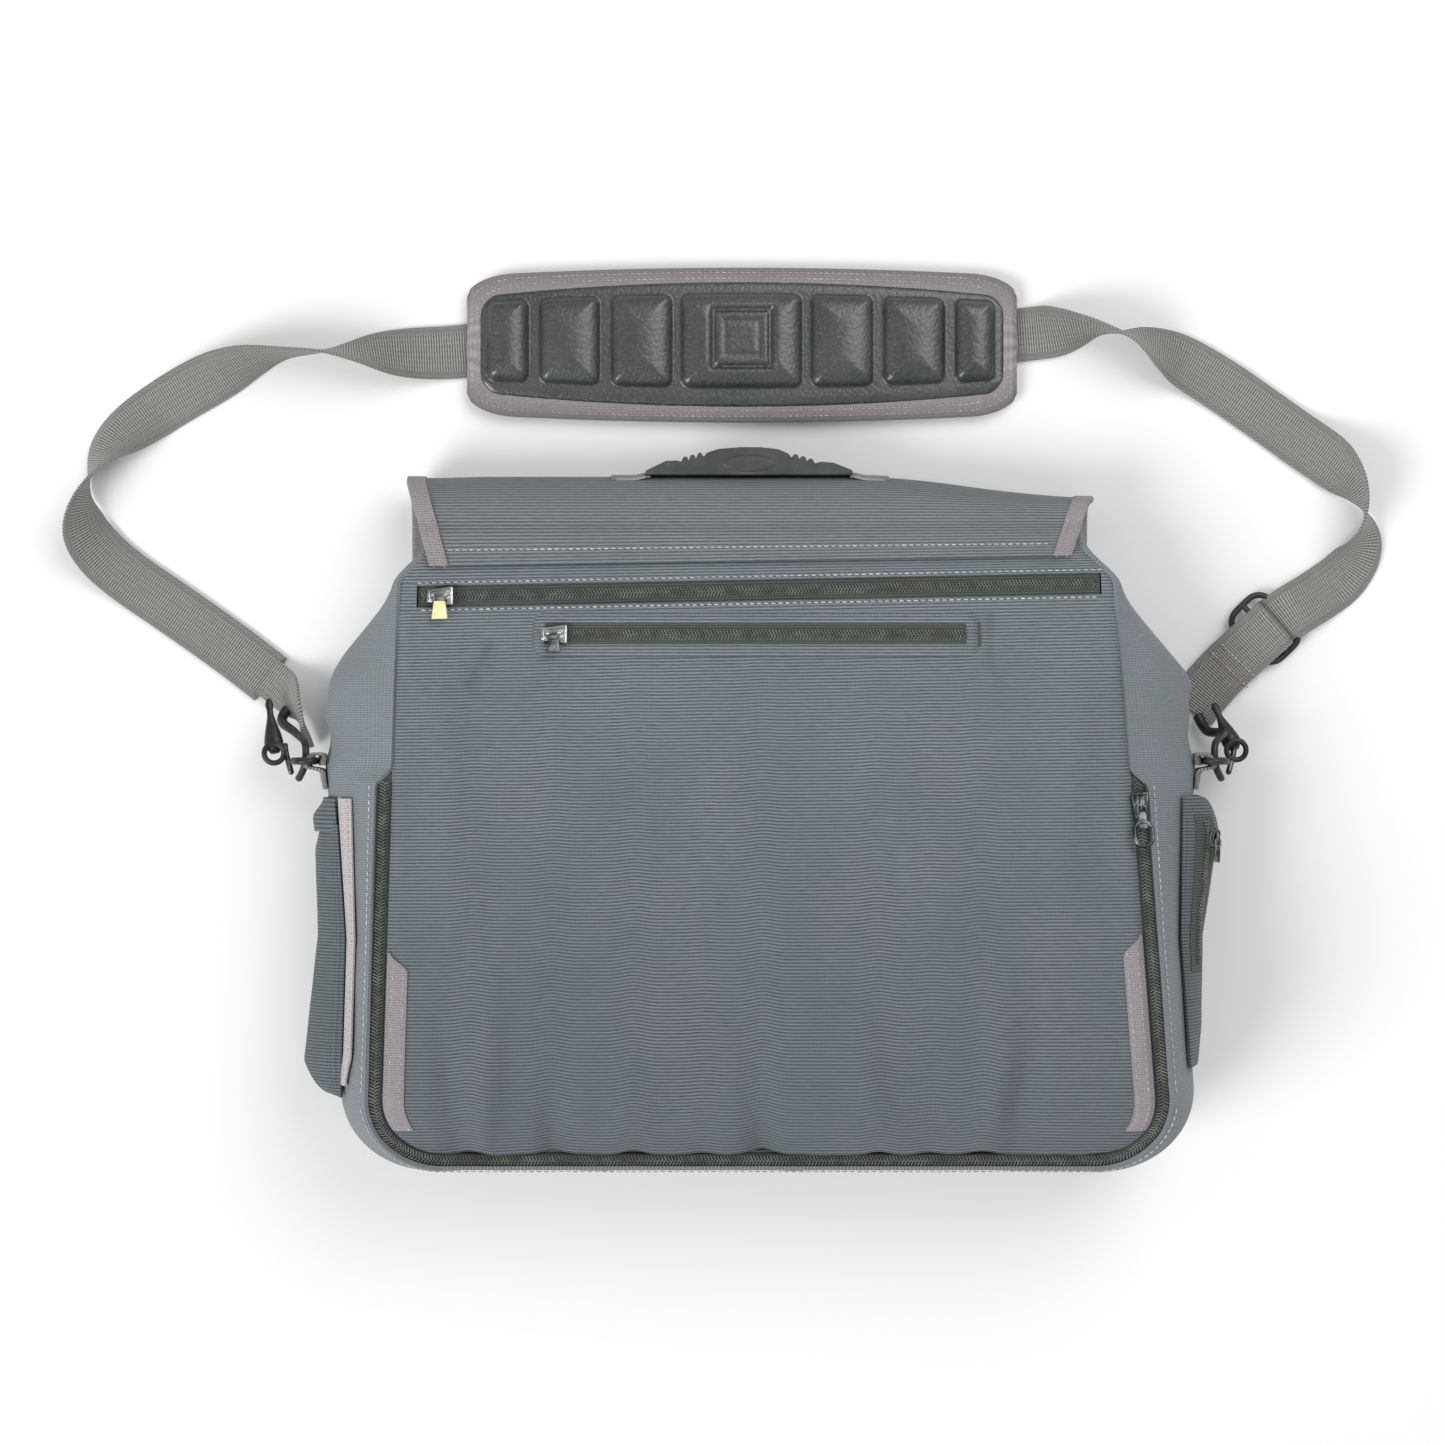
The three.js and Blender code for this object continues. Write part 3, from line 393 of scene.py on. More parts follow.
def backHeight(y):
    slope = (bag["lowHeight"] - bag["mouthHeight"]) / (bag["mouthY"] - bag["lowEndY"])
    roll = max(0, bag["lowEndY"] - y) / (bag["lowEndY"] - bag["bottomY"])
    straight = bag["lowHeight"] - slope * (max(y, bag["lowEndY"]) - bag["lowEndY"])
    return straight - bag["rollDrop"] * roll * roll


def edgeX(side, y):
    t = (bag["mouthY"] - y) / (bag["mouthY"] - bag["bottomY"])
    shift = mix(bag["shiftTop"], bag["shiftBottom"], t)
    drawnIn = bag["topDraw"] * smooth((y - 113) / 22)
    return shift + side * (mix(bag["halfTop"], bag["halfBottom"], t) - drawnIn)


def panelEdgeX(side, y):
    down = min(bag["corner"], max(0, cornerY - y))
    return edgeX(side, y) - side * (bag["corner"] - sqrt(bag["corner"] ** 2 - down ** 2))


def grooveAt(y):
    return mix(bag["groove"], bag["shutGroove"], smooth((y - bag["laptopZipTop"] - 4) / 20))


def shutGrooveAt(y):
    # the same groove, closed sooner above the laptop zip
    return mix(bag["groove"], bag["shutGroove"], smooth((y - bag["laptopZipTop"] + 1) / 9))


def seamShut(y, u):
    # draws the gusset's back edge in to the panel above the laptop zip
    return -2.4 * smooth((y - bag["laptopZipTop"]) / 9) * (1 - smooth(u / 0.16))


def bulgeAt(y):
    return bag["sideBulge"] * smooth((122 - y) / 60) * mix(1, 0.5, clamp01((60 - y) / 110))


def gussetPoint(side, y, u, lift=0.0):
    out = grooveAt(y) + bulgeAt(y) * sin(pi * u) + lift
    return Vector((edgeX(side, y) + side * out, y, mix(backHeight(y) - bag["fold"], 0, u)))


def bottomEdge(t, out):
    # the bag's lower edge in plan: left corner, bottom, right corner
    arcShare = 0.22
    turn = bag["corner"] + out
    start, end = edgeX(-1, cornerY) + bag["corner"], edgeX(1, cornerY) - bag["corner"]
    if arcShare <= t <= 1 - arcShare:
        return mix(start, end, (t - arcShare) / (1 - 2 * arcShare)), bag["bottomY"] - out
    if t < arcShare:
        centreX, angle = start, pi * (1 + 0.5 * t / arcShare)
    else:
        centreX, angle = end, -pi * 0.5 * (1 - (t - 1 + arcShare) / arcShare)
    return centreX + turn * cos(angle), cornerY + turn * sin(angle)


def ripple(x, y, size, seed=0.0):
    return noise.noise(Vector((x / size, y / size, seed)))


# makers
def selectOnly(piece):
    bpy.ops.object.select_all(action="DESELECT")
    piece.select_set(True)
    bpy.context.view_layer.objects.active = piece


def finishPiece(piece, material, nodes=(), smoothAngle=60, body="bag"):
    piece.data.materials.clear()
    piece.data.materials.append(material)
    selectOnly(piece)
    bpy.ops.object.shade_smooth_by_angle(angle=radians(smoothAngle))
    if nodes:
        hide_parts(*nodes)
    if body:
        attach(piece, body)
    return piece


# A cut of cloth: a flat grid whose points are moved to pointAt(a, b), in mm. Its UV map keeps
# the flat cut, and it gets its thickness away from its outer face.
def clothPiece(name, grid, cut, pointAt, thickness, inside=bagMiddle, wrap=False):
    bpy.ops.object.select_all(action="DESELECT")
    bpy.ops.mesh.primitive_grid_add(
        x_subdivisions=grid[0], y_subdivisions=grid[1], size=1, location=(0, 0, 0))
    piece = bpy.context.object
    piece.name = name
    mesh = piece.data
    shares = [(v.co.x + 0.5, v.co.y + 0.5) for v in mesh.vertices]
    for vertex, (a, b) in zip(mesh.vertices, shares):
        vertex.co = Vector(pointAt(a, b)) * mm
    layer = mesh.uv_layers[0]
    layer.name = "cut"
    for loop in mesh.loops:
        a, b = shares[loop.vertex_index]
        u, v = cut(a, b) if callable(cut) else (a * cut[0], b * cut[1])
        layer.data[loop.index].uv = (u * mm, v * mm)
    mesh.update()
    outward = sum(face.normal.dot(face.center - inside * mm) * face.area for face in mesh.polygons)
    if outward < 0:
        mesh.flip_normals()
    if wrap:
        bpy.ops.object.mode_set(mode="EDIT")
        bpy.ops.mesh.select_all(action="SELECT")
        bpy.ops.mesh.remove_doubles(threshold=0.00002)
        bpy.ops.object.mode_set(mode="OBJECT")
    if thickness:
        applyModifier(piece, "SOLIDIFY", thickness=thickness * mm, offset=-1, use_even_offset=False)
    return piece


def applyModifier(piece, kind, **settings):
    bpy.context.view_layer.objects.active = piece
    modifier = piece.modifiers.new("shaping", kind)
    for key, value in settings.items():
        setattr(modifier, key, value)
    bpy.ops.object.modifier_apply(modifier=modifier.name)


def meshPiece(name, points, faces, uvs=None):
    mesh = bpy.data.meshes.new(name)
    mesh.from_pydata([Vector(p) * mm for p in points], [], faces)
    if uvs:
        layer = mesh.uv_layers.new(name="cut")
        for loop in mesh.loops:
            u, v = uvs[loop.vertex_index]
            layer.data[loop.index].uv = (u * mm, v * mm)
    mesh.update()
    piece = bpy.data.objects.new(name, mesh)
    bpy.context.collection.objects.link(piece)
    return piece


def rounded(points, closed=False, steps=8):
    # points on a smooth line through these corners
    found = []
    count = len(points)
    spans = count if closed else count - 1
    for i in range(spans):
        if closed:
            p = [points[(i + k) % count] for k in (-1, 0, 1, 2)]
        else:
            p = [points[min(max(i + k, 0), count - 1)] for k in (-1, 0, 1, 2)]
        for k in range(steps):
            t = k / steps
            found.append(0.5 * (
                2 * p[1] + (p[2] - p[0]) * t + (2 * p[0] - 5 * p[1] + 4 * p[2] - p[3]) * t * t
                + (3 * p[1] - p[0] - 3 * p[2] + p[3]) * t ** 3))
    if not closed:
        found.append(points[-1].copy())
    return found


def spaced(points, step):
    # points at even steps along a line, with the direction at each
    lengths = [0.0]
    for a, b in zip(points, points[1:]):
        lengths.append(lengths[-1] + (b - a).length)
    count = max(1, round(lengths[-1] / step))
    found, k = [], 0
    for i in range(count + 1):
        want = lengths[-1] * i / count
        while k < len(points) - 2 and lengths[k + 1] < want:
            k += 1
        span = lengths[k + 1] - lengths[k] or 1.0
        direction = (points[k + 1] - points[k]).normalized()
        found.append((points[k].lerp(points[k + 1], (want - lengths[k]) / span), direction))
    return found


# A round bar along a line, with one radius or a radius at each point. It ends flat.
def barPiece(name, points, radii, sides=14, closed=False, flatten=1.0, upAxis=up):
    rings, faces = [], []
    count = len(points)
    for i, point in enumerate(points):
        ahead = points[(i + 1) % count] if closed else points[min(i + 1, count - 1)]
        behind = points[i - 1] if closed else points[max(i - 1, 0)]
        along = (ahead - behind).normalized()
        side = along.cross(upAxis)
        side = side.normalized() if side.length > 0.05 else along.orthogonal().normalized()
        over = side.cross(along)
        radius = radii[i] if isinstance(radii, (list, tuple)) else radii
        for k in range(sides):
            turn = tau * k / sides
            rings.append(
                point + side * (cos(turn) * radius)
                + over * (sin(turn) * radius * flatten))
    for i in range(count if closed else count - 1):
        for k in range(sides):
            a, b = i * sides + k, i * sides + (k + 1) % sides
            c, d = (a + sides) % (count * sides), (b + sides) % (count * sides)
            faces.append((a, c, d, b))
    if not closed:
        faces.append(tuple(range(sides)))
        faces.append(tuple(reversed(range((count - 1) * sides, count * sides))))
    return outNormals(meshPiece(name, rings, faces))


def outNormals(piece):
    selectOnly(piece)
    bpy.ops.object.mode_set(mode="EDIT")
    bpy.ops.mesh.select_all(action="SELECT")
    bpy.ops.mesh.normals_make_consistent(inside=False)
    bpy.ops.object.mode_set(mode="OBJECT")
    return piece


def tubeFaces(start, rings, sides, capped=True):
    # faces between rings of points that follow each other
    faces = []
    for ring in range(rings - 1):
        for k in range(sides):
            a, b = start + ring * sides + k, start + ring * sides + (k + 1) % sides
            faces.append((a, b, b + sides, a + sides))
    if capped:
        last = start + (rings - 1) * sides
        faces.append(tuple(start + k for k in reversed(range(sides))))
        faces.append(tuple(last + k for k in range(sides)))
    return faces


# Sewn rows: short rounded stitches that lie along each line and sink at both ends. A row of
# the profile is a place along the stitch, its share of the radius and how far it stands up.
stitch = {
    "pitch": 3.3, "length": 2.4, "radius": 0.34, "sides": 5, "lift": 0.4,
    "profile": [
        (-0.5, 0.12, -0.9), (-0.32, 0.85, -0.1), (0, 1.0, 0.15), (0.32, 0.85, -0.1),
        (0.5, 0.12, -0.9)],
    "bindingPitch": 2.9,
}


def stitchPiece(name, lines, material, pitch=stitch["pitch"], radius=stitch["radius"]):
    length = pitch * stitch["length"] / stitch["pitch"]
    sides, profile = stitch["sides"], stitch["profile"]
    points, faces = [], []
    for line, lift in lines:
        for centre, along in spaced(line, pitch):
            over = lift(centre) if callable(lift) else lift
            over = (over - along * over.dot(along)).normalized()
            across = along.cross(over)
            faces += tubeFaces(len(points), len(profile), sides)
            for at, size, stand in profile:
                middle = centre + along * (at * length) + over * (radius * (stand + stitch["lift"]))
                for k in range(sides):
                    turn = tau * k / sides
                    points.append(
                        middle + across * (cos(turn) * radius * size)
                        + over * (sin(turn) * radius * size))
    return finishPiece(outNormals(meshPiece(name, points, faces)), material)


def bindingStitches(name, lines, radius):
    return stitchPiece(name, lines, mauveThread, stitch["bindingPitch"], radius)


print("makers ready")

# shoulder strap
# Each row is x, y and roll in degrees: at 90 the webbing stands on its edge. A fourth number
# raises it.
strap = {
    "width": 25.4, "thickness": 1.6, "lift": 0.1, "length": 0.89,
    "rows": [
        # from the left hook to the pad
        (-236.5, 69.5, -360), (-252, 81.5, -360), (-270, 94.5, -360), (-288, 107, -360),
        (-304, 118, -358), (-316.5, 129, -345), (-324, 141, -318), (-324.5, 155, -280),
        (-319, 170, -248), (-309, 184, -208), (-295, 196, -184), (-279, 206, -172),
        (-262, 214.5, -152), (-246, 221, -122), (-230, 224.6, -96), (-212, 225.6, -84),
        (-196, 225.8, -62), (-178, 225.6, -28), (-160, 226, -6), (-143, 227, 0),
        # under the pad
        (-110, 229.5, 0), (-60, 231, 0), (-10, 231, 0), (40, 231, 0), (88, 233, 0),
        # from the pad to the adjuster
        (122, 235, 0), (134, 235.8, 14), (147, 236.2, 52), (160, 236, 84), (173, 233.5, 104),
        (188, 227.6, 142), (203, 220.5, 172), (220, 210.4, 180), (238, 198, 180),
        (256, 185, 184), (270, 174, 206), (280.5, 161.5, 248), (286, 147, 286),
        (285, 132, 326), (277, 119, 350), (267, 111.2, 360, 1.6), (258.5, 106, 360, 4.6),
        (252, 102.2, 360, 5.8), (247.4, 98.8, 360, 3.6), (243.4, 95.4, 360, 0.6)],
}
# The free end passes over the adjuster's bar and is sewn down with two rows.
tail = {
    "width": 25.4, "thickness": 2.6, "lift": 0.1,
    "rows": [
        (244.2, 96.6, 0, 3.2), (243.4, 95.9, 0, 5.4), (241.2, 94, 0, 6.4), (234, 87.6, 0, 6.2),
        (226.5, 80.4, 0, 3.6), (220.5, 74.5, 0, 1.6), (212, 65, 0, 0.4), (204.5, 55.5, 0, 0)],
    "sewn": [(218.8, 86.0, 235.0, 70.4), (214.6, 81.8, 230.8, 66.2)], "pitch": 2.2,
    "thread": 0.62,
}
# The left end doubles back through the hook, and its folds stand on edge.
leftEnd = {
    "width": 19, "thickness": 2.6, "lift": 1.8,
    "rows": [
        (-238, 71, 0), (-231, 65.5, 10), (-226, 60, 40), (-221.5, 52.5, 74), (-218.6, 44, 88),
        (-216.5, 37, 92)],
}


def webbingPiece(name, look, across=10):
    width, thickness = look["width"], look["thickness"]
    fine = rounded([Vector(row if len(row) == 4 else (*row, 0)) for row in look["rows"]], steps=6)
    spine = []
    for place in fine:
        edge = abs(sin(radians(place.z)))
        high = edge * width / 2 + thickness / 2 + look["lift"] + place.w
        spine.append(Vector((place.x, place.y, high)))
    points, uvs, run = [], [], 0.0
    ring = 2 * (across + 1)
    for i, centre in enumerate(spine):
        along = (spine[min(i + 1, len(spine) - 1)] - spine[max(i - 1, 0)]).normalized()
        flat = up.cross(along).normalized()
        wide = Matrix.Rotation(radians(fine[i].z), 3, along) @ flat
        thick = along.cross(wide).normalized()
        if i:
            run += (centre - spine[i - 1]).length
        for face in (1, -1):
            for k in range(across + 1):
                share = k / across if face > 0 else 1 - k / across
                # the selvedge is rolled a little thinner than the middle
                rim = 1 - 0.45 * abs(2 * share - 1) ** 8
                points.append(
                    centre + wide * ((share - 0.5) * width) + thick * (face * thickness / 2 * rim))
                uvs.append((share * width, run))
    faces = tubeFaces(0, len(spine), ring, capped=False)
    for start, flip in ((0, False), ((len(spine) - 1) * ring, True)):
        for k in range(across):
            quad = [start + k, start + k + 1, start + ring - 2 - k, start + ring - 1 - k]
            faces.append(tuple(quad if flip else reversed(quad)))
    return outNormals(meshPiece(name, points, faces, uvs)), spine, run


shoulderStrap, strapSpine, strapRun = webbingPiece("shoulderStrap", strap)
finishPiece(shoulderStrap, strapWebbing, ("strap_left", "strap_right", "pad_webbing"), 50)
print("strap runs", round(strapRun), "mm")
strapTail, tailSpine = webbingPiece("strapTail", tail)[:2]
finishPiece(strapTail, strapWebbing, ("strap_tail",), 50)


def tailTop(x, y):
    # the place on the tail's upper face above x and y
    nearest = min(tailSpine, key=lambda p: abs((p.x - x) * 0.69 + (p.y - y) * 0.72))
    return Vector((x, y, nearest.z + tail["thickness"] / 2 + 0.05))


boxLines = []
for startX, startY, endX, endY in tail["sewn"]:
    row = [tailTop(mix(startX, endX, t / 8), mix(startY, endY, t / 8)) for t in range(9)]
    boxLines.append((row, up))
boxStitches = stitchPiece("strapBoxStitches", boxLines, beigeThread, tail["pitch"], tail["thread"])

# shoulder pad
pad = {
    "x": -10.7, "y": 229.5, "length": 263, "width": 74, "endWidth": 46, "low": 2.2, "thick": 5.3,
    "pillows": [
        (-121.5, -102), (-96.5, -68), (-62.5, -33.5), (-29, 28.5), (33, 62.5), (67.5, 96.5),
        (101.5, 120.5)],
    "pillowHalf": 22.5, "pillowY": 1.6, "pillowHeight": 5.6, "badge": 13.5,
    "faceNarrower": (13, 14.5, 20), "faceHeight": 7.3,
}


def padHalf(x, length, width, endWidth, corner=22):
    t = abs(x) / (length / 2)
    bow = mix(width / 2, endWidth / 2 + 10, t * t)
    end = clamp01((abs(x) - (length / 2 - corner)) / corner)
    return bow - (bow - endWidth / 2) * (1 - sqrt(max(0, 1 - end * end)))


# The bound edge is a slab whose rim is rounded over by the tape.
def padBasePoint(a, b):
    x = mix(-pad["length"] / 2, pad["length"] / 2, a)
    half = padHalf(x, pad["length"], pad["width"], pad["endWidth"])
    turn = tau * (b - 0.25)
    c, s = cos(turn), sin(turn)
    endShare = clamp01((pad["length"] / 2 - abs(x)) / 3)
    fat = pad["thick"] / 2 * quarterRound(endShare)
    y = copysign(abs(c) ** 0.34, c) * half
    z = copysign(abs(s) ** 0.5, s) * fat
    ruck = 0.18 * ripple(x * 3, turn * 4, 6, 4.0)
    return pad["x"] + x, pad["y"] + y, pad["low"] + pad["thick"] / 2 + z + ruck * endShare


padMiddle = Vector((pad["x"], pad["y"], pad["low"] + pad["thick"] / 2))
padBase = finishPiece(clothPiece(
    "padBinding", (150, 72), (pad["length"], 160), padBasePoint, 0, padMiddle, wrap=True),
    bindingTape, ("pad_base",))


def pillowHeight(x, y):
    # height of the moulded face above its thin skin
    best = 0.0
    for left, right in pad["pillows"]:
        halfX, halfY = (right - left) / 2, pad["pillowHalf"] - 0.0016 * abs(x) ** 1.6
        dx = abs(x - (left + right) / 2) - halfX + 4
        dy = abs(y - pad["pillowY"]) - halfY + 4
        outside = hypot(max(dx, 0), max(dy, 0)) + min(max(dx, dy), 0)
        inside = clamp01((4 - outside) / min(15, halfX))
        best = max(best, pad["pillowHeight"] * quarterRound(inside))
    badgeX, badgeY = abs(x), abs(y - pad["pillowY"] - 1)
    badge = max(badgeX, badgeY) - pad["badge"]
    if badge < 4:
        best = mix(best, pad["pillowHeight"] - 1.2, smooth((4 - badge) / 4))
        best -= 1.5 * exp(-(badge / 1.1) ** 2)
        best -= 0.45 * exp(-((badge + 5.5) / 1.1) ** 2)
    return best


def padFacePoint(a, b):
    length, width, endWidth = (
        pad[k] - less for k, less in zip(("length", "width", "endWidth"), pad["faceNarrower"]))
    x = mix(-length / 2, length / 2, a)
    half = padHalf(x, length, width, endWidth, 9)
    y = mix(-half, half, b)
    rim = clamp01(min((length / 2 - abs(x)) / 5, (half - abs(y)) / 5))
    base = pad["faceHeight"] + 1.5 * quarterRound(rim)
    return pad["x"] + x, pad["y"] + y, base + pillowHeight(x, y) * rim


padFace = finishPiece(
    clothPiece("padFace", (340, 92), (250, 60), padFacePoint, 1.0, padMiddle), padVinyl,
    ("pad_cushion",), 70)


def padOutline(inset, z):
    line = []
    length, width, endWidth = (pad[k] - 2 * inset for k in ("length", "width", "endWidth"))
    for i in range(121):
        x = mix(-length / 2, length / 2, 0.5 - 0.5 * cos(pi * i / 120))
        line.append(Vector((pad["x"] + x, pad["y"] + padHalf(x, length, width, endWidth), z)))
    back = [Vector((p.x, 2 * pad["y"] - p.y, z)) for p in reversed(line)]
    return line + back + [line[0]]


padStitches = bindingStitches(
    "padStitches", [(padOutline(2.6, 7.35), up), (padOutline(5.4, 7.5), up)], 0.3)
print("pad ready")

# buckles and hooks
# The adjuster: a moulded loop of two rounded ends with a bar across its middle.
adjuster = {
    "x": 239.6, "y": 94.0, "z": 4.2, "turn": -46.0, "halfLong": 15.6, "halfShort": 11.4,
    "corner": 7.5, "wire": 1.5, "bar": 1.4}


def loopOutline(halfLong, halfShort, corner, steps=8):
    corners = []
    for cx, cy, start in ((1, 1, 0), (-1, 1, 90), (-1, -1, 180), (1, -1, 270)):
        for k in range(steps + 1):
            angle = radians(start + 90 * k / steps)
            corners.append(Vector((
                cx * (halfLong - corner) + corner * cos(angle),
                cy * (halfShort - corner) + corner * sin(angle), 0)))
    return corners


def placed(points, x, y, z, turn):
    spin = Matrix.Rotation(radians(turn), 3, "Z")
    return [spin @ p + Vector((x, y, z)) for p in points]


def onAdjuster(points):
    return placed(points, adjuster["x"], adjuster["y"], adjuster["z"], adjuster["turn"])


glideLoop = loopOutline(adjuster["halfLong"], adjuster["halfShort"], adjuster["corner"])
triGlide = finishPiece(barPiece(
    "adjusterLoop", onAdjuster(glideLoop), adjuster["wire"], closed=True, flatten=0.85),
    blackAcetal, ("tri_glide",))
glideBar = [Vector((x, 0, 0.4 * (1 - (x / 16) ** 2))) for x in range(-15, 16, 3)]
adjusterBar = finishPiece(barPiece(
    "adjusterBar", onAdjuster(glideBar), adjuster["bar"], flatten=0.85), blackAcetal)

# D-rings stand in the plane of x and z, with the straight side nearest the bag. The webbing
# tab passes round that side and is sewn to the gusset: its line is how far out, and y.
ring = {
    "y": 31.0, "z": 34.0, "high": 11.0, "deep": 7.0, "out": 8.5, "wire": 1.7, "straight": 0.45,
    "tabWidth": 17.6, "tabThickness": 1.2,
    "tab": [(2.3, 17.8), (2.6, 22), (3.4, 26), (9.6, 27.6), (10.6, 31), (8.6, 34.6), (4.0, 34.6),
            (2.6, 32.5), (2.0, 29)],
}
sideWord = {-1: "left", 1: "right"}
ringX = {side: gussetPoint(side, ring["y"], 0.45, ring["out"]).x for side in sideWord}
tabLine = rounded([Vector((out - 1.4, y, 0)) for out, y in ring["tab"]], steps=5)
for side, name in sideWord.items():
    corners = []
    for i in range(48):
        angle = tau * i / 48
        reach = max(-ring["straight"], cos(angle))
        corners.append(Vector((
            ringX[side] + side * ring["deep"] * reach, ring["y"],
            ring["z"] + ring["high"] * sin(angle))))
    finishPiece(barPiece(
        name + "DRing", corners, ring["wire"], closed=True, upAxis=Vector((0, 1, 0))),
        blackAcetal, (name + "_d_ring",))

    def tabPoint(a, b, side=side):
        spot = tabLine[round(b * (len(tabLine) - 1))]
        z = ring["z"] + ring["tabWidth"] / 2 - ring["tabWidth"] * a
        base = gussetPoint(side, spot.y, clamp01(1 - z / (backHeight(spot.y) - bag["fold"])), 1.4)
        return base.x + side * spot.x, spot.y, z

    finishPiece(clothPiece(
        name + "RingTab", (10, 40), (ring["tabWidth"], 46), tabPoint, ring["tabThickness"],
        Vector((ringX[side] - side * 3.6, 30.5, 34))), strapWebbing, (name + "_ring_tab",))

# Snap hooks: a tapered body between the webbing eye and the ring, with a sprung gate.
hook = {
    -1: {"eye": Vector((-226, 58, 5)), "knob": Vector((-235.6, 60, 15)),
         "gateRing": Vector((-231.4, 34.5, 22))},
    1: {"eye": Vector((207, 53, 5)), "knob": Vector((213.5, 58, 13)),
        "gateRing": Vector((222.5, 36.0, 20))},
    "leverRadii": [1.2, 2.0, 1.5, 1.6, 2.2, 2.9, 3.6, 4.2, 4.6, 4.2, 2.0],
    "eyeHalf": 4.6, "eyeWire": 1.3, "gateWire": 1.4,
}
for side, name in sideWord.items():
    x = ringX[side] + side * 1.9
    eye, knob, foot = (hook[side][k] for k in ("eye", "knob", "gateRing"))
    route = rounded([
        eye, Vector((eye.x + side * 4, eye.y - 8, 10)), Vector((x + side * 6, ring["y"] + 13, 22)),
        Vector((x, ring["y"] + 8, 34)), Vector((x, ring["y"] - 2, 35)),
        Vector((x + side * 4, ring["y"] - 9, 29))], steps=7)
    radii = [2.6 - 0.9 * smooth(i / 22) for i in range(len(route))]
    radii[0] = radii[-1] = 1.0
    finishPiece(barPiece(name + "HookBody", route, radii), blackAcetal, (name + "_hook",))
    lever = [knob.lerp(foot, t / 10) for t in range(11)]
    finishPiece(barPiece(name + "HookLever", lever, hook["leverRadii"], flatten=0.7), blackAcetal)
    loop = placed(
        loopOutline(hook["eyeHalf"], hook["eyeHalf"], 4.5), foot.x, foot.y, foot.z + 3.4, 0)
    finishPiece(barPiece(name + "HookEye", loop, hook["eyeWire"], closed=True), blackAcetal)
    gateLine = rounded([
        Vector((x + side * 7.5, ring["y"] - 6.5, 25)), Vector((x + side * 10.5, ring["y"] + 3, 22)),
        Vector((x + side * 11.6, ring["y"] + 8, 19.5))], steps=8)
    gateRadii = [0.6] + [hook["gateWire"]] * (len(gateLine) - 2) + [0.6]
    finishPiece(
        barPiece(name + "HookGate", gateLine, gateRadii), gunmetal, (name + "_hook_gate",),
        body=name + "_gate")

leftFold = finishPiece(webbingPiece("leftStrapFold", leftEnd)[0], strapWebbing, smoothAngle=50)
print("hooks and rings ready")

# bag body
upperZip = {"start": -158.0, "end": 152.0, "y": 107.2, "rise": 6.2, "half": 4.8, "tapeHalf": 6.6}
lowerZip = {"start": -104.0, "end": 96.0, "y": 89.5, "half": 4.4, "tapeHalf": 5.4}


sideRoll, zipLip = (2.4, 5), (1.3, 2.2)  # depth and reach of the back's rolled edges


def upperZipAt(x):
    return upperZip["y"] + (x - upperZip["start"]) * upperZip["rise"] / 310


# Soft folds in the back: from point, to point, half width, height.
foldFoot = -142  # y of the folds that start at the bottom seam
folds = [
    ((-128, foldFoot), (-122, -60), 7, 4.9), ((-140, foldFoot), (-146, -66), 6.5, -3.2),
    ((-97, foldFoot), (-90, -92), 7, -3.0), ((-60, foldFoot), (-64, -86), 8, 2.9),
    ((-2, foldFoot), (-6, -78), 9, -3.0), ((50, foldFoot), (40, -72), 9, 3.8),
    ((97, foldFoot), (112, -60), 7.5, 4.6), ((112, foldFoot), (122, -78), 6.5, -2.9),
    ((-125, 84), (-134, 67), 3.4, -4.1), ((106, 98), (106, 76), 3.2, -2.9),
    ((-150, 60), (-140, -40), 11, 2.9), ((142, 62), (136, -20), 11, 3.2),
    ((-30, 40), (10, -30), 20, 1.9), ((60, 20), (90, -30), 16, 1.9),
    ((-60, 70), (60, 60), 16, 1.3)]
# The bottom seam is drawn in between these places: x and depth.
puckers = [
    (-133, 2.2), (-97, 2.4), (-60, 2.6), (-2, 3.0), (50, 2.4), (97, 2.6), (-28, 1.0), (74, 1.2)]


def foldHeight(x, y):
    total = 0.0
    for (x0, y0), (x1, y1), width, high in folds:
        dx, dy = x1 - x0, y1 - y0
        t = clamp01(((x - x0) * dx + (y - y0) * dy) / (dx * dx + dy * dy))
        away = hypot(x - x0 - t * dx, y - y0 - t * dy)
        fade = sin(pi * (0.5 + 0.5 * t)) if y0 == foldFoot else 1 - 0.4 * t
        total += high * fade * exp(-(away / width) ** 2)
    return total


def puckerAt(x):
    return sum(deep * exp(-((x - at) / 6.5) ** 2) for at, deep in puckers)


def backFace(x, y):
    left, right = panelEdgeX(-1, y), panelEdgeX(1, y)
    nearSide = min(x - left, right - x)
    nearBottom = y - bag["bottomY"]
    roll = rolledEdge(nearSide, *sideRoll)
    crown = 3.2 * sqrt(clamp01(nearSide / 90)) * smooth((104 - y) / 60)
    crown *= smooth(nearBottom / 60)
    soft = 1.7 * ripple(x, y, 62, 2.0) + 0.6 * ripple(x, y * 1.4, 24, 5.0)
    low = exp(-nearBottom / 17)
    tuck = -1.5 * puckerAt(x) * low + 1.5 * low * smooth(nearSide / 20)
    return backHeight(y) + roll + crown + soft * smooth(nearSide / 12) + foldHeight(x, y) + tuck


def backRow(b):
    # closer rows towards the bottom seam
    return 1 - (1 - b) ** 1.25


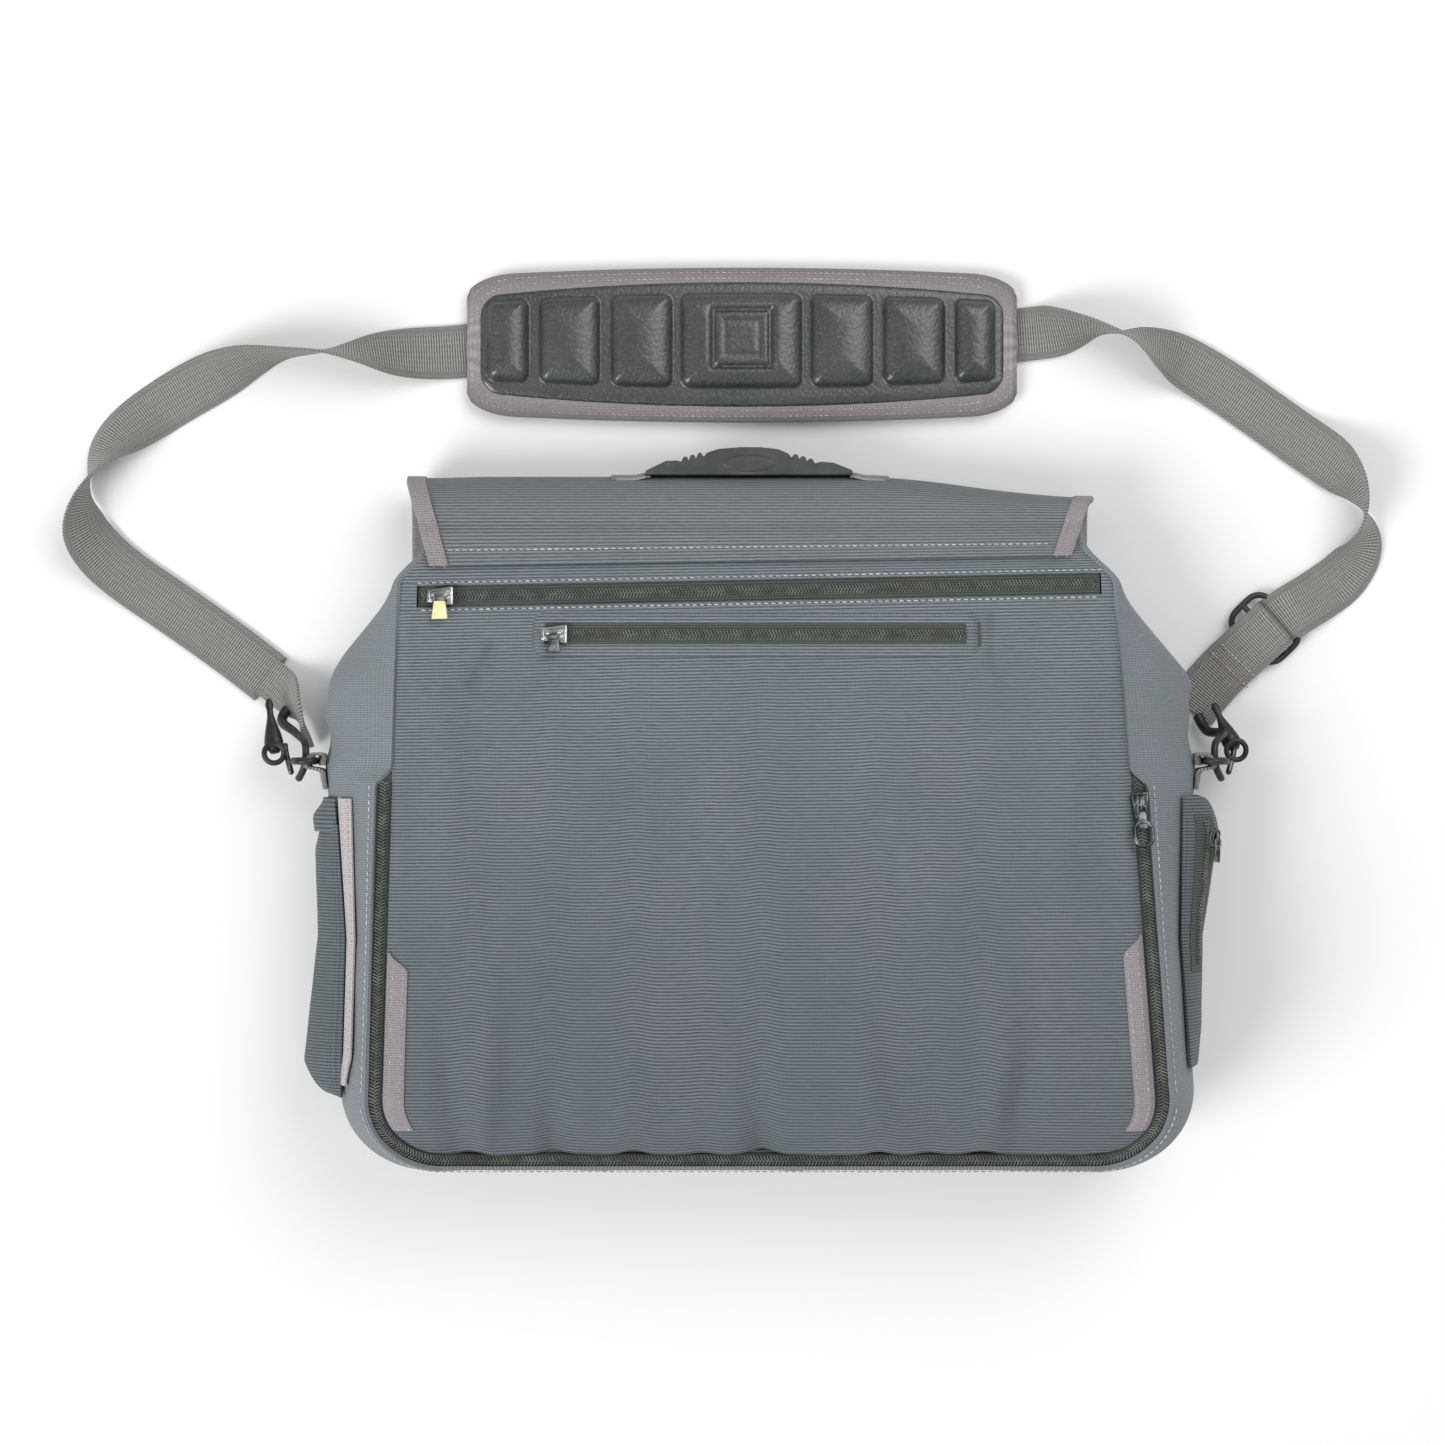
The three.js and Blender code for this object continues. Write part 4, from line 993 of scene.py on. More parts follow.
def backPanelPoint(a, b):
    share = backRow(b)
    guess = mix(bag["bottomY"], 104, 1 - share)
    x = mix(panelEdgeX(-1, guess), panelEdgeX(1, guess), a)
    top = upperZipAt(x) - upperZip["half"]
    drawnIn = puckerAt(x) * 0.75 * smooth(min(x + 165, 165 - x) / 20)
    y = mix(bag["bottomY"] + drawnIn, top, 1 - share)
    wave = 0.5 * ripple(x, y, 13, 9.0) * smooth((share - 0.9) * 10)
    lip = rolledEdge(top - y, *zipLip)
    return x, y + wave, backFace(x, y) + lip


finishPiece(clothPiece(
    "backPanel", (190, 170), lambda a, b: (a * 345, 250 * backRow(b)), backPanelPoint, 1.8),
    ribbedCanvas, ("back_panel",), 40)


def yokePoint(a, b):
    yTop = 137.5
    x0 = mix(edgeX(-1, 120), edgeX(1, 120), a)
    low = upperZipAt(x0) + upperZip["half"]
    y = mix(low, yTop, b)
    x = mix(edgeX(-1, y), edgeX(1, y), a)
    nearSide = min(x - edgeX(-1, y), edgeX(1, y) - x)
    lip = rolledEdge(y - low, *zipLip) + rolledEdge(nearSide, *sideRoll)
    return x, y, backHeight(y) + lip + 0.35 * ripple(x, y, 40, 3.0) * smooth(nearSide / 20)


finishPiece(
    clothPiece("backYoke", (150, 20), (340, 25), yokePoint, 1.8), ribbedCanvas, ("back_yoke",), 40)

# One shell runs round the left side, the bottom and the right side. Its creases: side, from
# y and share of the depth, to y and share, half width in mm, height.
shell = {"sideShare": 0.3, "grid": (400, 44), "thickness": 1.8, "depth": 90}
creases = [
    (-1, 92, 0.02, 62, 0.42, 6, -2.6), (-1, 84, 0.02, 50, 0.5, 7, 2.0),
    (1, 96, 0.03, 66, 0.5, 7, 1.8), (1, 70, 0.02, 58, 0.6, 5, -1.6),
    (-1, -60, 0.1, -112, 0.45, 9, 1.4), (1, -40, 0.1, -100, 0.4, 9, 1.2)]


def creaseHeight(side, y, u):
    total = 0.0
    for onSide, y0, u0, y1, u1, width, high in creases:
        if onSide == side:
            dy, du, fromU = y1 - y0, (u1 - u0) * shell["depth"], (u - u0) * shell["depth"]
            t = clamp01(((y - y0) * dy + fromU * du) / (dy * dy + du * du))
            away = hypot(y - y0 - t * dy, fromU - t * du)
            total += high * exp(-(away / width) ** 2)
    return total


def shellPoint(a, b):
    share, soften = shell["sideShare"], smooth(b * 7) * smooth((1 - b) * 7)
    deep = b * shell["depth"]
    if a < share or a > 1 - share:
        side = -1 if a < share else 1
        t = a / share if side < 0 else (1 - a) / share
        y = mix(bag["mouthY"] - 1, cornerY + 0.2, t)
        wrinkle = 0.55 * ripple(y, deep, 30, 11.0 + side) + 0.25 * ripple(y, deep, 11, 14.0)
        wrinkle += creaseHeight(side, y, b)
        clear = smooth((y - 40) / 12) if y > 0 else smooth((-114 - y) / 6)
        lift = wrinkle * soften * max(0.35, clear)
        if -120 < y < 40:
            lift = min(lift, 0.7)  # flat behind the side pockets
        lift += seamShut(y, b) - (grooveAt(y) - shutGrooveAt(y)) * (1 - smooth(b / 0.3))
        return gussetPoint(side, y, b, lift)
    t = (a - share) / (1 - 2 * share)
    nearSide = smooth(abs(t - 0.5) * 4 - 1)
    bulge = mix(bag["bottomBulge"], bulgeAt(cornerY), nearSide) * sin(pi * b)
    edgeSpotX, edgeSpotY = bottomEdge(t, 0)
    wrinkle = 0.6 * ripple(edgeSpotX, deep, 24, 17.0) * (1 - nearSide)
    drawnIn = 0.9 * puckerAt(edgeSpotX) * exp(-b * 6) * (1 - nearSide)
    x, y = bottomEdge(t, bag["groove"] + bulge + (wrinkle - drawnIn) * soften)
    return x, y, mix(backHeight(max(bag["bottomY"], edgeSpotY)) - bag["fold"], 0, b)


# The gusset's cut has u and v changed over, so its ribs run from back to front.
finishPiece(clothPiece(
    "gussetShell", shell["grid"], lambda a, b: (b * 100, a * 950), shellPoint, shell["thickness"]),
    gussetCanvas, ("left_gusset", "right_gusset", "bottom_gusset"), 40)


def levelPanel(top, low, heightAt, inset, sag):
    def pointAt(a, b):
        y = mix(top, low, b)
        x = mix(panelEdgeX(-1, y) + inset, panelEdgeX(1, y) - inset, a)
        return x, y, heightAt(y) + sag * ripple(x, y, 60, 21.0)
    return pointAt


finishPiece(clothPiece(
    "frontPanel", (80, 70), (345, 283), levelPanel(137, -146.5, lambda y: 7.2, 0.3, 0.25), 1.8,
    Vector((0, 0, 30))), ribbedCanvas, ("front_panel",), 40)
farBelow = Vector((0, 0, -400))
divider = clothPiece(
    "laptopDivider", (60, 50), (330, 240),
    levelPanel(104, -136, lambda y: mix(9.2, backHeight(y), 0.6) - 0.4, 6, 0.8), 4.6, farBelow)
applyModifier(divider, "BEVEL", width=1.4 * mm, segments=2, limit_method="ANGLE")
finishPiece(divider, liningNylon, ("laptop_divider",), 40)
finishPiece(clothPiece(
    "backPocketLining", (60, 50), (330, 236),
    levelPanel(98, -136, lambda y: backHeight(y) - 9.2, 6, 0.7), 0.9, farBelow),
    liningNylon, ("back_pocket_lining",), 40)
print("bag body ready")

# flap
flap = {
    "hemY": 124.0, "skew": 5.0, "halfCrown": 161.0, "halfHem": 148.0, "shift": -7.0,
    "lowY": -125.0, "crown": 22.0, "yokeTop": 136.0, "binding": 8.0, "fold": 3.2,
    "sagFrom": 43.0, "sag": 10.0,
}
flapMiddle = Vector((0, 100, 20))
crownRun = pi * flap["crown"]
stripRun = bag["mouthY"] - flap["hemY"]
flapRun = stripRun + crownRun + bag["mouthY"] - flap["lowY"]


def hemAt(x):
    return flap["hemY"] + flap["skew"] * x / (2 * flap["halfHem"])


def flapEdgeAt(side, run):
    # the edge runs straight out from the hem to the crown's far side, then straight down
    turned = min(pi / 2, max(0, run - stripRun) / flap["crown"])
    rise = min(run, stripRun) + flap["crown"] * sin(turned)
    share = rise / (stripRun + flap["crown"])
    return flap["shift"] + side * mix(flap["halfHem"], flap["halfCrown"], share)


def flapSag(x):
    return flap["sag"] * smooth((x - flap["sagFrom"]) / 112)


def flapSpot(x, run, lift=0.0):
    # a place on the flap's outer face: run goes from the back hem over the crown to the front hem
    radius = flap["crown"]
    if run < stripRun:
        y = mix(hemAt(x), bag["mouthY"], run / stripRun)
        z = mix(backHeight(y) + 2.6, bag["mouthHeight"], smooth((y - flap["yokeTop"]) / 7))
        hemStep = -0.36 * exp(-((y - hemAt(x) - 6.2) / 1.6) ** 2)
        z += 0.5 * ripple(x, y, 35, 31.0) + hemStep
        return Vector((x, y, z + lift))
    if run < stripRun + crownRun:
        angle = pi / 2 - (run - stripRun) / radius
        reach = radius + lift
        y = bag["mouthY"] + reach * cos(angle)
        sag = flapSag(x) * cos(angle) ** 2
        dent = 0.8 * ripple(x, angle * 20, 45, 33.0) * cos(angle) ** 2
        return Vector((x, y - sag + min(0, dent), radius + reach * sin(angle)))
    y = bag["mouthY"] - (run - stripRun - crownRun)
    return Vector((x, y, -lift))


def flapRunAt(b):
    # closer rows over the strip and the crown
    return flapRun * (b * 0.5 if b < 0.5 else mix(0.25, 1.0, (b - 0.5) / 0.5))


def flapPoint(a, b):
    run = flapRunAt(b)
    x = mix(flapEdgeAt(-1, run) + 0.4, flapEdgeAt(1, run) - 0.4, a)
    return flapSpot(x, run)


def bendOverMouth(piece):
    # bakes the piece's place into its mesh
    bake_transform(piece)


flapCloth = finishPiece(clothPiece(
    "flapCloth", (130, 190), lambda a, b: (a * 322, flapRunAt(b)), flapPoint, 1.6, flapMiddle),
    flapCanvas, ("flap_back_strip", "flap_panel"), 40, None)
bendOverMouth(flapCloth)

for side, name in sideWord.items():
    # The binding folds round the flap's raw edge, so it shows a narrow band on both faces.
    def bindingPoint(a, b, side=side):
        run = flapRunAt(b)
        outer = flapEdgeAt(side, run)
        across = a * (2 * flap["binding"] + flap["fold"])
        if across < flap["binding"]:
            return flapSpot(outer - side * (flap["binding"] - across), run, 0.8)
        if across > flap["binding"] + flap["fold"]:
            return flapSpot(outer - side * (across - flap["binding"] - flap["fold"]), run, -2.4)
        turn = pi * (across - flap["binding"]) / flap["fold"]
        return flapSpot(outer + side * 0.9 * sin(turn), run, -0.8 + 1.6 * cos(turn))

    bendOverMouth(finishPiece(clothPiece(
        name + "FlapBinding", (18, 190), lambda a, b: (a * 19.2, flapRunAt(b)), bindingPoint,
        0.5, flapMiddle), bindingTape, ("strip_" + name + "_binding", "flap_" + name + "_binding"),
        body=None))
    lines = []
    for inset in (1.6, 6.4):
        lines.append(([
            flapSpot(flapEdgeAt(side, run) - side * inset, run, 0.9)
            for run in [stripRun * k / 16 for k in range(17)]], Vector((0, 0.1, 1))))
    bindingStitches(name + "StripBindingStitches", lines, 0.26)

hemLine = [flapSpot(x, 6.4, 0.1) for x in range(-146, 134, 4)]
stitchPiece("flapHemStitches", [(hemLine, Vector((0, 0.2, 1)))], paleThread)
for tapeNode in (
        "flap_left_hook_tape", "flap_right_hook_tape", "front_left_loop_tape",
        "front_right_loop_tape"):
    low, high = (Vector(p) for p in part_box(tapeNode))
    middle = [(low[k] + high[k]) / 2 / mm for k in range(3)]
    half = [(high[k] - low[k]) / 2 / mm for k in range(3)]
    onFlap = tapeNode.startswith("flap")
    facesUp = 1 if onFlap else -1

    def tapePoint(a, b, middle=middle, half=half, facesUp=facesUp):
        x, y = (a - 0.5) * 2 * half[0], (b - 0.5) * 2 * half[1]
        rim = clamp01(min(half[0] - abs(x), half[1] - abs(y)) / 1.5)
        rise = half[2] * (0.3 + 0.7 * rim) + 0.12 * ripple(x * 3, y * 3, 4, 40.0)
        return middle[0] + x, middle[1] + y, middle[2] + facesUp * rise

    finishPiece(clothPiece(
        "closing" + tapeNode.title().replace("_", ""), (40, 60), (50, 90), tapePoint, 0.9,
        Vector(middle) - 50 * facesUp * up), zipTapeCloth, (tapeNode,), 40,
        "flap" if onFlap else "bag")
print("flap ready")

# zips
# Coil teeth: short raised loops from each side, slanted towards each other at the middle.
coil = {"pitch": 1.5, "width": 4.8, "wire": 0.34, "slant": 0.8}


def coilPiece(name, line, width, node):
    points, faces = [], []
    arc = [(-1.0, 0.05), (-0.72, 0.75), (-0.3, 1.0), (0.02, 0.5), (0.14, -0.05)]
    for centre, along, across, over in line:
        for flip in (1, -1):
            faces += tubeFaces(len(points), len(arc), 4)
            for at, high in arc:
                middle = centre + across * (flip * at * width / 2) + over * (high * 0.75)
                middle += along * (coil["slant"] * at * coil["pitch"] + flip * coil["pitch"] / 4)
                for da, dh in ((-1, 0), (0, 1), (1, 0), (0, -1)):
                    points.append(middle + along * (da * coil["wire"]) + over * (dh * coil["wire"]))
    return finishPiece(outNormals(meshPiece(name, points, faces)), coilNylon, (node,))


def framed(line, acrossAt):
    # adds the across and over directions to evenly spaced points
    found = []
    for centre, along in line:
        across = acrossAt(centre)
        across = (across - along * across.dot(along)).normalized()
        over = along.cross(across)
        if over.z < 0:
            over = -over
        found.append((centre, along, across, over))
    return found


slopeDown = Vector((0, 1, -0.195)).normalized()


def straightZip(name, look, yAt, coilHeight, tapeHeight):
    start, end, tapeHalf = look["start"], look["end"], look["tapeHalf"]
    spots = [(x, yAt(x)) for x in range(int(start), int(end) + 1, 5)]
    line = spaced([Vector((x, y, coilHeight(x, y))) for x, y in spots], coil["pitch"])
    coilPiece(
        name + "ZipCoil", framed(line, lambda p: slopeDown), coil["width"], name + "_zip_coil")

    def tapePoint(a, b):
        x = mix(start - 3, end + 3, a)
        y = yAt(x) + mix(-tapeHalf, tapeHalf, b)
        return x, y, tapeHeight(x, y)

    finishPiece(
        clothPiece(name + "ZipTape", (90, 10), (end - start, tapeHalf * 2), tapePoint, 0.5),
        zipTapeCloth, (name + "_zip_tape",), 40)


straightZip(
    "upper", upperZip, upperZipAt, lambda x, y: backHeight(y) - 1.5,
    lambda x, y: backHeight(y) - 2.2)
straightZip(
    "lower", lowerZip, lambda x: lowerZip["y"], lambda x, y: backFace(x, y) + 0.9,
    lambda x, y: backFace(x, y) + 0.55)

# Canvas closes the back beyond both ends of the upper zip.
for side, endX in ((-1, upperZip["start"] - 3.5), (1, upperZip["end"] + 3.5)):
    def zipEndPoint(a, b, side=side, endX=endX):
        y = upperZipAt(endX) + mix(-6.2, 6.2, b)
        x = mix(endX, edgeX(side, y), a)
        nearEdge = abs(edgeX(side, y) - x)
        return x, y, backHeight(y) - 0.5 + rolledEdge(nearEdge, 1.9, 5)

    finishPiece(
        clothPiece(sideWord[side] + "ZipEnd", (10, 10), (10, 12.4), zipEndPoint, 1.2),
        ribbedCanvas, smoothAngle=40)

# The lower zip sits in a faced window: folded canvas lips, topstitched all round.
facing = {
    "x": -4.6, "y": 89.9, "halfX": 101.2, "halfY": 9.0, "corner": 4.5, "outer": -1.6, "inner": 4.3}


def facingLine(inset):
    points = loopOutline(
        facing["halfX"] - inset, facing["halfY"] - inset, max(0.4, facing["corner"] - inset),
        steps=6)
    line = [Vector((p.x + facing["x"], p.y + facing["y"], 0)) for p in points]
    return line + [line[0]]


outerLine = spaced(facingLine(facing["outer"]), 2.2)


def facingPoint(a, b):
    spot = outerLine[round(a * (len(outerLine) - 1))][0]
    halfX, halfY = facing["halfX"] - facing["inner"], facing["halfY"] - facing["inner"]
    boundX = min(max(spot.x, facing["x"] - halfX), facing["x"] + halfX)
    boundY = min(max(spot.y, facing["y"] - halfY), facing["y"] + halfY)
    x, y = mix(spot.x, boundX, b), mix(spot.y, boundY, b)
    rise = 0.35 + 1.35 * smooth(b * 2.2) - 0.9 * smooth((b - 0.86) / 0.14)
    return x, y, backFace(x, y) + rise
    return x, y, backFace(x, y) + rise


finishPiece(clothPiece(
    "lowerZipFacing", (len(outerLine) - 1, 8), lambda a, b: facingPoint(a, b)[:2], facingPoint,
    0.5, wrap=True), ribbedCanvas)


# The laptop zip runs in the groove round the sides and the bottom.
def zipSideX(side, y, out):
    return edgeX(side, y) + side * min(out, shutGrooveAt(y) + 0.4)


def grooveLine(out, drop, above=0):
    sideYs = [mix(bag["laptopZipTop"] + above, cornerY, i / 30) for i in range(30)]
    plan = [(zipSideX(-1, y, out), y, y) for y in sideYs]
    for i in range(61):
        x, y = bottomEdge(i / 60, out)
        plan.append((x, y, bottomEdge(i / 60, 0)[1]))
    plan += [(zipSideX(1, y, out), y, y) for y in reversed(sideYs)]
    return [Vector((x, y, backHeight(max(edgeY, bag["bottomY"])) - drop)) for x, y, edgeY in plan]


def awayFromMiddle(p):
    # straight out from the sides and the bottom, fanned round the two corners
    cornerX = copysign(146, p.x)
    if p.y > cornerY:
        return Vector((copysign(1, p.x), 0, 0))
    if abs(p.x) > abs(cornerX):
        return Vector((p.x - cornerX, p.y - cornerY, 0)).normalized()
    return Vector((0, -1, 0))


laptopLine = spaced(grooveLine(3.2, 2.0), coil["pitch"])
coilPiece("laptopZipCoil", framed(laptopLine, awayFromMiddle), 5.0, "laptop_zip_coil")
innerEdge, outerEdge = grooveLine(-1.5, 3.0, 9), grooveLine(7.6, 2.9, 9)


def laptopTapePoint(a, b):
    place = a * (len(innerEdge) - 1)
    k = min(int(place), len(innerEdge) - 2)
    inner = innerEdge[k].lerp(innerEdge[k + 1], place - k)
    outer = outerEdge[k].lerp(outerEdge[k + 1], place - k)
    return inner.lerp(outer, b)


finishPiece(
    clothPiece("laptopZipTape", (240, 6), (680, 9), laptopTapePoint, 0.5), zipTapeCloth,
    smoothAngle=40)
# A thin corded edge stands on each side of the coil.
for cordName, out, drop in (("laptopZipInnerCord", 0.5, 1.9), ("laptopZipOuterCord", 6.3, 1.7)):
    cordLine = [p for p, along in spaced(grooveLine(out, drop), 3)]
    finishPiece(barPiece(cordName, cordLine, 0.6, sides=8), zipTapeCloth, smoothAngle=40)


def orientation(x, y, z, turn, tilt):
    return (Matrix.Translation(Vector((x, y, z)) * mm) @ Matrix.Rotation(turn, 4, "Z")
            @ Matrix.Rotation(tilt, 4, "X"))


def boxPiece(name, size, centre):
    bpy.ops.object.select_all(action="DESELECT")
    bpy.ops.mesh.primitive_cube_add(size=1, location=(0, 0, 0))
    piece = bpy.context.object
    piece.name = name
    stretch = Matrix.Diagonal((*[s * mm for s in size], 1))
    piece.data.transform(Matrix.Translation(Vector(centre) * mm) @ stretch)
    return piece


def selectFaces(piece, test):
    bpy.ops.object.mode_set(mode="EDIT")
    bpy.ops.mesh.select_mode(type="FACE")
    bpy.ops.mesh.select_all(action="DESELECT")
    bpy.ops.object.mode_set(mode="OBJECT")
    for face in piece.data.polygons:
        face.select = test(face)
    bpy.ops.object.mode_set(mode="EDIT")


def joinPieces(first, others):
    bpy.ops.object.select_all(action="DESELECT")
    for piece in [first, *others]:
        piece.select_set(True)
    bpy.context.view_layer.objects.active = first
    bpy.ops.object.join()
    return first


# A slider: a waisted body, a raised deck and an arched bridge that the pull hangs from.
def sliderPiece(name, place, size, body, node, metal, alongX=True):
    length, width, height = size
    piece = boxPiece(name, (length, width, height * 0.42), (0, 0, height * 0.21))
    selectFaces(piece, lambda face: face.normal.x < -0.9)
    bpy.ops.transform.resize(value=(1, 0.62, 1))
    selectFaces(piece, lambda face: face.normal.z > 0.9)
    bpy.ops.mesh.inset(thickness=0.9 * mm)
    bpy.ops.mesh.extrude_region_move(TRANSFORM_OT_translate={"value": (0, 0, height * 0.34 * mm)})
    bpy.ops.transform.resize(value=(0.9, 0.82, 1))
    bpy.ops.object.mode_set(mode="OBJECT")
    applyModifier(piece, "BEVEL", width=0.5 * mm, segments=3, limit_method="ANGLE")
    arch = rounded([
        Vector((length * at, 0, height * high))
        for at, high in ((-0.36, 0.5), (-0.26, 0.95), (0, 1.15), (0.26, 0.95), (0.36, 0.5))],
        steps=5)
    bridge = barPiece("bridge", arch, 0.75, sides=10, upAxis=Vector((0, 1, 0)))
    rimLine = [Vector((p.x, p.y, height * 0.8)) for p in loopOutline(
        length * 0.42, width * 0.27, width * 0.26, steps=5)]
    joinPieces(piece, [bridge, barPiece("rim", rimLine, 0.42, sides=8, closed=True)])
    if not alongX:
        piece.data.transform(Matrix.Rotation(radians(90), 4, "Z"))
    piece.data.transform(place)
    finishPiece(piece, metal, (node,), 40, body)


def placedLoop(name, place, halfWide, halfLong, corner, centreY, height, wire, body, **form):
    # a closed wire loop that lies flat under a slider's bridge
    loop = [
        Vector((p.x, p.y + centreY, height))
        for p in loopOutline(halfWide, halfLong, corner, steps=form.pop("steps"))]
    link = barPiece(name, loop, wire, closed=True, **form)
    link.data.transform(place)
    finishPiece(link, gunmetal, body=body)


# A pull: a wire link and a flat tab with softened edges, hanging towards -y.
def pullPiece(name, place, size, body, node, material):
    width, length, height = size
    tab = boxPiece(name, (width, length, 1.4), (0, -length / 2 - 3.0, height + 0.7))
    selectFaces(tab, lambda face: face.normal.y > 0.9)
    bpy.ops.transform.resize(value=(0.7, 1, 1))
    selectFaces(tab, lambda face: abs(face.normal.z) > 0.9)
    bpy.ops.mesh.inset(thickness=1.1 * mm)
    bpy.ops.object.mode_set(mode="OBJECT")
    applyModifier(tab, "BEVEL", width=0.6 * mm, segments=3, limit_method="ANGLE")
    tab.data.transform(place)
    finishPiece(tab, material, (node,), 40, body)
    placedLoop(
        name + "Link", place, width * 0.36, 2.2, 1.5, -2.3, height + 0.55, 0.6, body, sides=8,
        steps=5)


slope = atan((bag["lowHeight"] - bag["mouthHeight"]) / (bag["mouthY"] - bag["lowEndY"]))
upperY, lowerY, laptopY = upperZipAt(-150.5), lowerZip["y"], 11
sideTurn = atan2(edgeX(1, cornerY) - edgeX(1, bag["laptopZipTop"]), bag["laptopZipTop"] - cornerY)
laptopPlace = orientation(
    edgeX(1, laptopY) + 2.9, laptopY, backHeight(laptopY) + 0.2, sideTurn, -slope)
# Each zip: the place of its slider, the slider's width and metal, the pull's width, length
# and material.
zipParts = {
    "upper": (orientation(-150.5, upperY, backHeight(upperY) + 0.3, atan(0.02), -slope),
              9, brightNickel, 7.6, 8.6, yellowRubber),
    "lower": (orientation(-97.5, lowerY, backHeight(lowerY) + 2.4, 0, -slope),
              9, brightNickel, 6.4, 6.5, gunmetal),
    "laptop": (laptopPlace, 8.4, gunmetal, 5.0, 8.6, gunmetal),
}
for name, (place, width, metal, pullWidth, pullLength, material) in zipParts.items():
    sliderPiece(
        name + "ZipSlider", place, (12, width, 2.9), name + "_slider", name + "_zip_slider",
        metal, name != "laptop")
    pullPiece(
        name + "ZipPull", place, (pullWidth, pullLength, 3.0), name + "_pull",
        name + "_zip_pull", material)
placedLoop(
    "laptopZipRing", laptopPlace, 4.0, 5.6, 3.9, -13.6, 4.1, 1.0, "laptop_pull", sides=10,
    steps=6)
print("zips ready")

# side pockets
def patchPoint(side, yTop, yLow, uTop, uLow, liftAt):
    return lambda a, b: gussetPoint(side, mix(yTop, yLow, b), mix(uTop, uLow, a), liftAt(a, b))


def leftPocketLift(a, b):
    sides = heldEdges(a, 5.5)
    ends = sqrt(clamp01((1 - b) * 8)) * (1 - 0.45 * (1 - smooth(b * 9)))
    soft = 0.7 * ripple(a * 60, b * 110, 24, 51.0)
    return 2.6 + (mix(5.6, 16.5, b) + soft) * sides * ends


pocketInside = Vector((-150, -60, 40))
finishPiece(clothPiece(
    "leftPocket", (50, 90), (86, 130), patchPoint(-1, 2, -122, 0.24, 0.88, leftPocketLift), 1.5,
    pocketInside), pocketCanvas, ("left_pocket",), 50)


def lidLift(a, b):
    sides = heldEdges(a, 5.5)
    return 2.6 + 5.9 * sides * smooth(b * 1.6)


finishPiece(clothPiece(
    "leftPocketLid", (46, 18), (82, 12), patchPoint(-1, 14, -1.5, 0.25, 0.87, lidLift), 1.5,
    pocketInside), pocketCanvas, ("left_pocket_lid",), 50, "pocket_lid")


def pocketBindingPoint(a, b):
    y = mix(14, -116, b)
    u = mix(0.125, 0.225, a) + 0.06 * smooth((b - 0.88) / 0.12)
    dome = 0.45 * sin(pi * a) - 0.25 * exp(-((a - 0.5) / 0.06) ** 2)
    return gussetPoint(-1, y, u, 2.3 + dome)


# The binding takes the paler copy of the tape, with painted light.
finishPiece(clothPiece(
    "leftPocketBinding", (16, 110), (9, 132), pocketBindingPoint, 0.9, pocketInside),
    paintedLightTape, ("left_pocket_binding",))
bindingStitches("leftPocketStitches", [
    ([gussetPoint(-1, y, u, 2.5) for y in range(13, -112, -4)], Vector((-0.6, 0, 0.8)))
    for u in (0.145, 0.2)], 0.28)


def rightPocketLift(a, b):
    sides, ends = heldEdges(a, 4.5), heldEdges(b, 7)
    soft = 0.6 * ripple(a * 60, b * 110, 22, 57.0)
    return 2.6 + max(0, mix(12, 1.5, b) + soft) * sides * ends


rightInside = Vector((150, -50, 40))
finishPiece(clothPiece(
    "rightPocket", (50, 90), (84, 128), patchPoint(1, 15, -108, 0.2, 0.86, rightPocketLift), 1.5,
    rightInside), pocketCanvas, ("right_pocket",), 50)


def onRightPocket(a, b, lift):
    return gussetPoint(1, mix(15, -108, b), mix(0.2, 0.86, a), rightPocketLift(a, b) + lift)


rightCoilLine = rounded([
    onRightPocket(0.12, b, 1.1) for b in [mix(0.1, 0.62, k / 12) for k in range(13)]])
sideways = Vector((0.5, 0.1, -0.85)).normalized()
coilPiece(
    "rightPocketCoil", framed(spaced(rightCoilLine, coil["pitch"]), lambda p: sideways), 3.6,
    "right_pocket_coil")
finishPiece(clothPiece(
    "rightPocketTape", (12, 60), (9, 66),
    lambda a, b: onRightPocket(mix(0.04, 0.2, a), mix(0.07, 0.65, b), 0.65), 0.5, rightInside),
    zipTapeCloth)

# The right pocket's slider takes the place of its CAD node's box and turns along the pocket's coil.
low, high = (Vector(p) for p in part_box("right_pocket_slider"))
coilStart, coilEnd = onRightPocket(0.12, 0.16, 3.4), onRightPocket(0.12, 0.4, 3.4)
along = (coilEnd - coilStart).normalized()
wide = Matrix.Rotation(radians(-35), 3, along) @ up.cross(along).normalized()
frameTurn = Matrix((along, wide, along.cross(wide))).transposed().to_4x4()
pocketPlace = (
    Matrix.Translation((low + high) / 2) @ frameTurn @ Matrix.Translation((0, 0, -1.3 * mm)))
sliderPiece(
    "rightPocketSlider", pocketPlace, (10, 7, 2.4), "pocket_slider", "right_pocket_slider",
    gunmetal)
pullPiece(
    "rightPocketPull", pocketPlace @ Matrix.Rotation(radians(90), 4, "Z"), (4.4, 8.0, 2.6),
    "pocket_pull", "right_pocket_pull", gunmetal)
print("pockets ready")

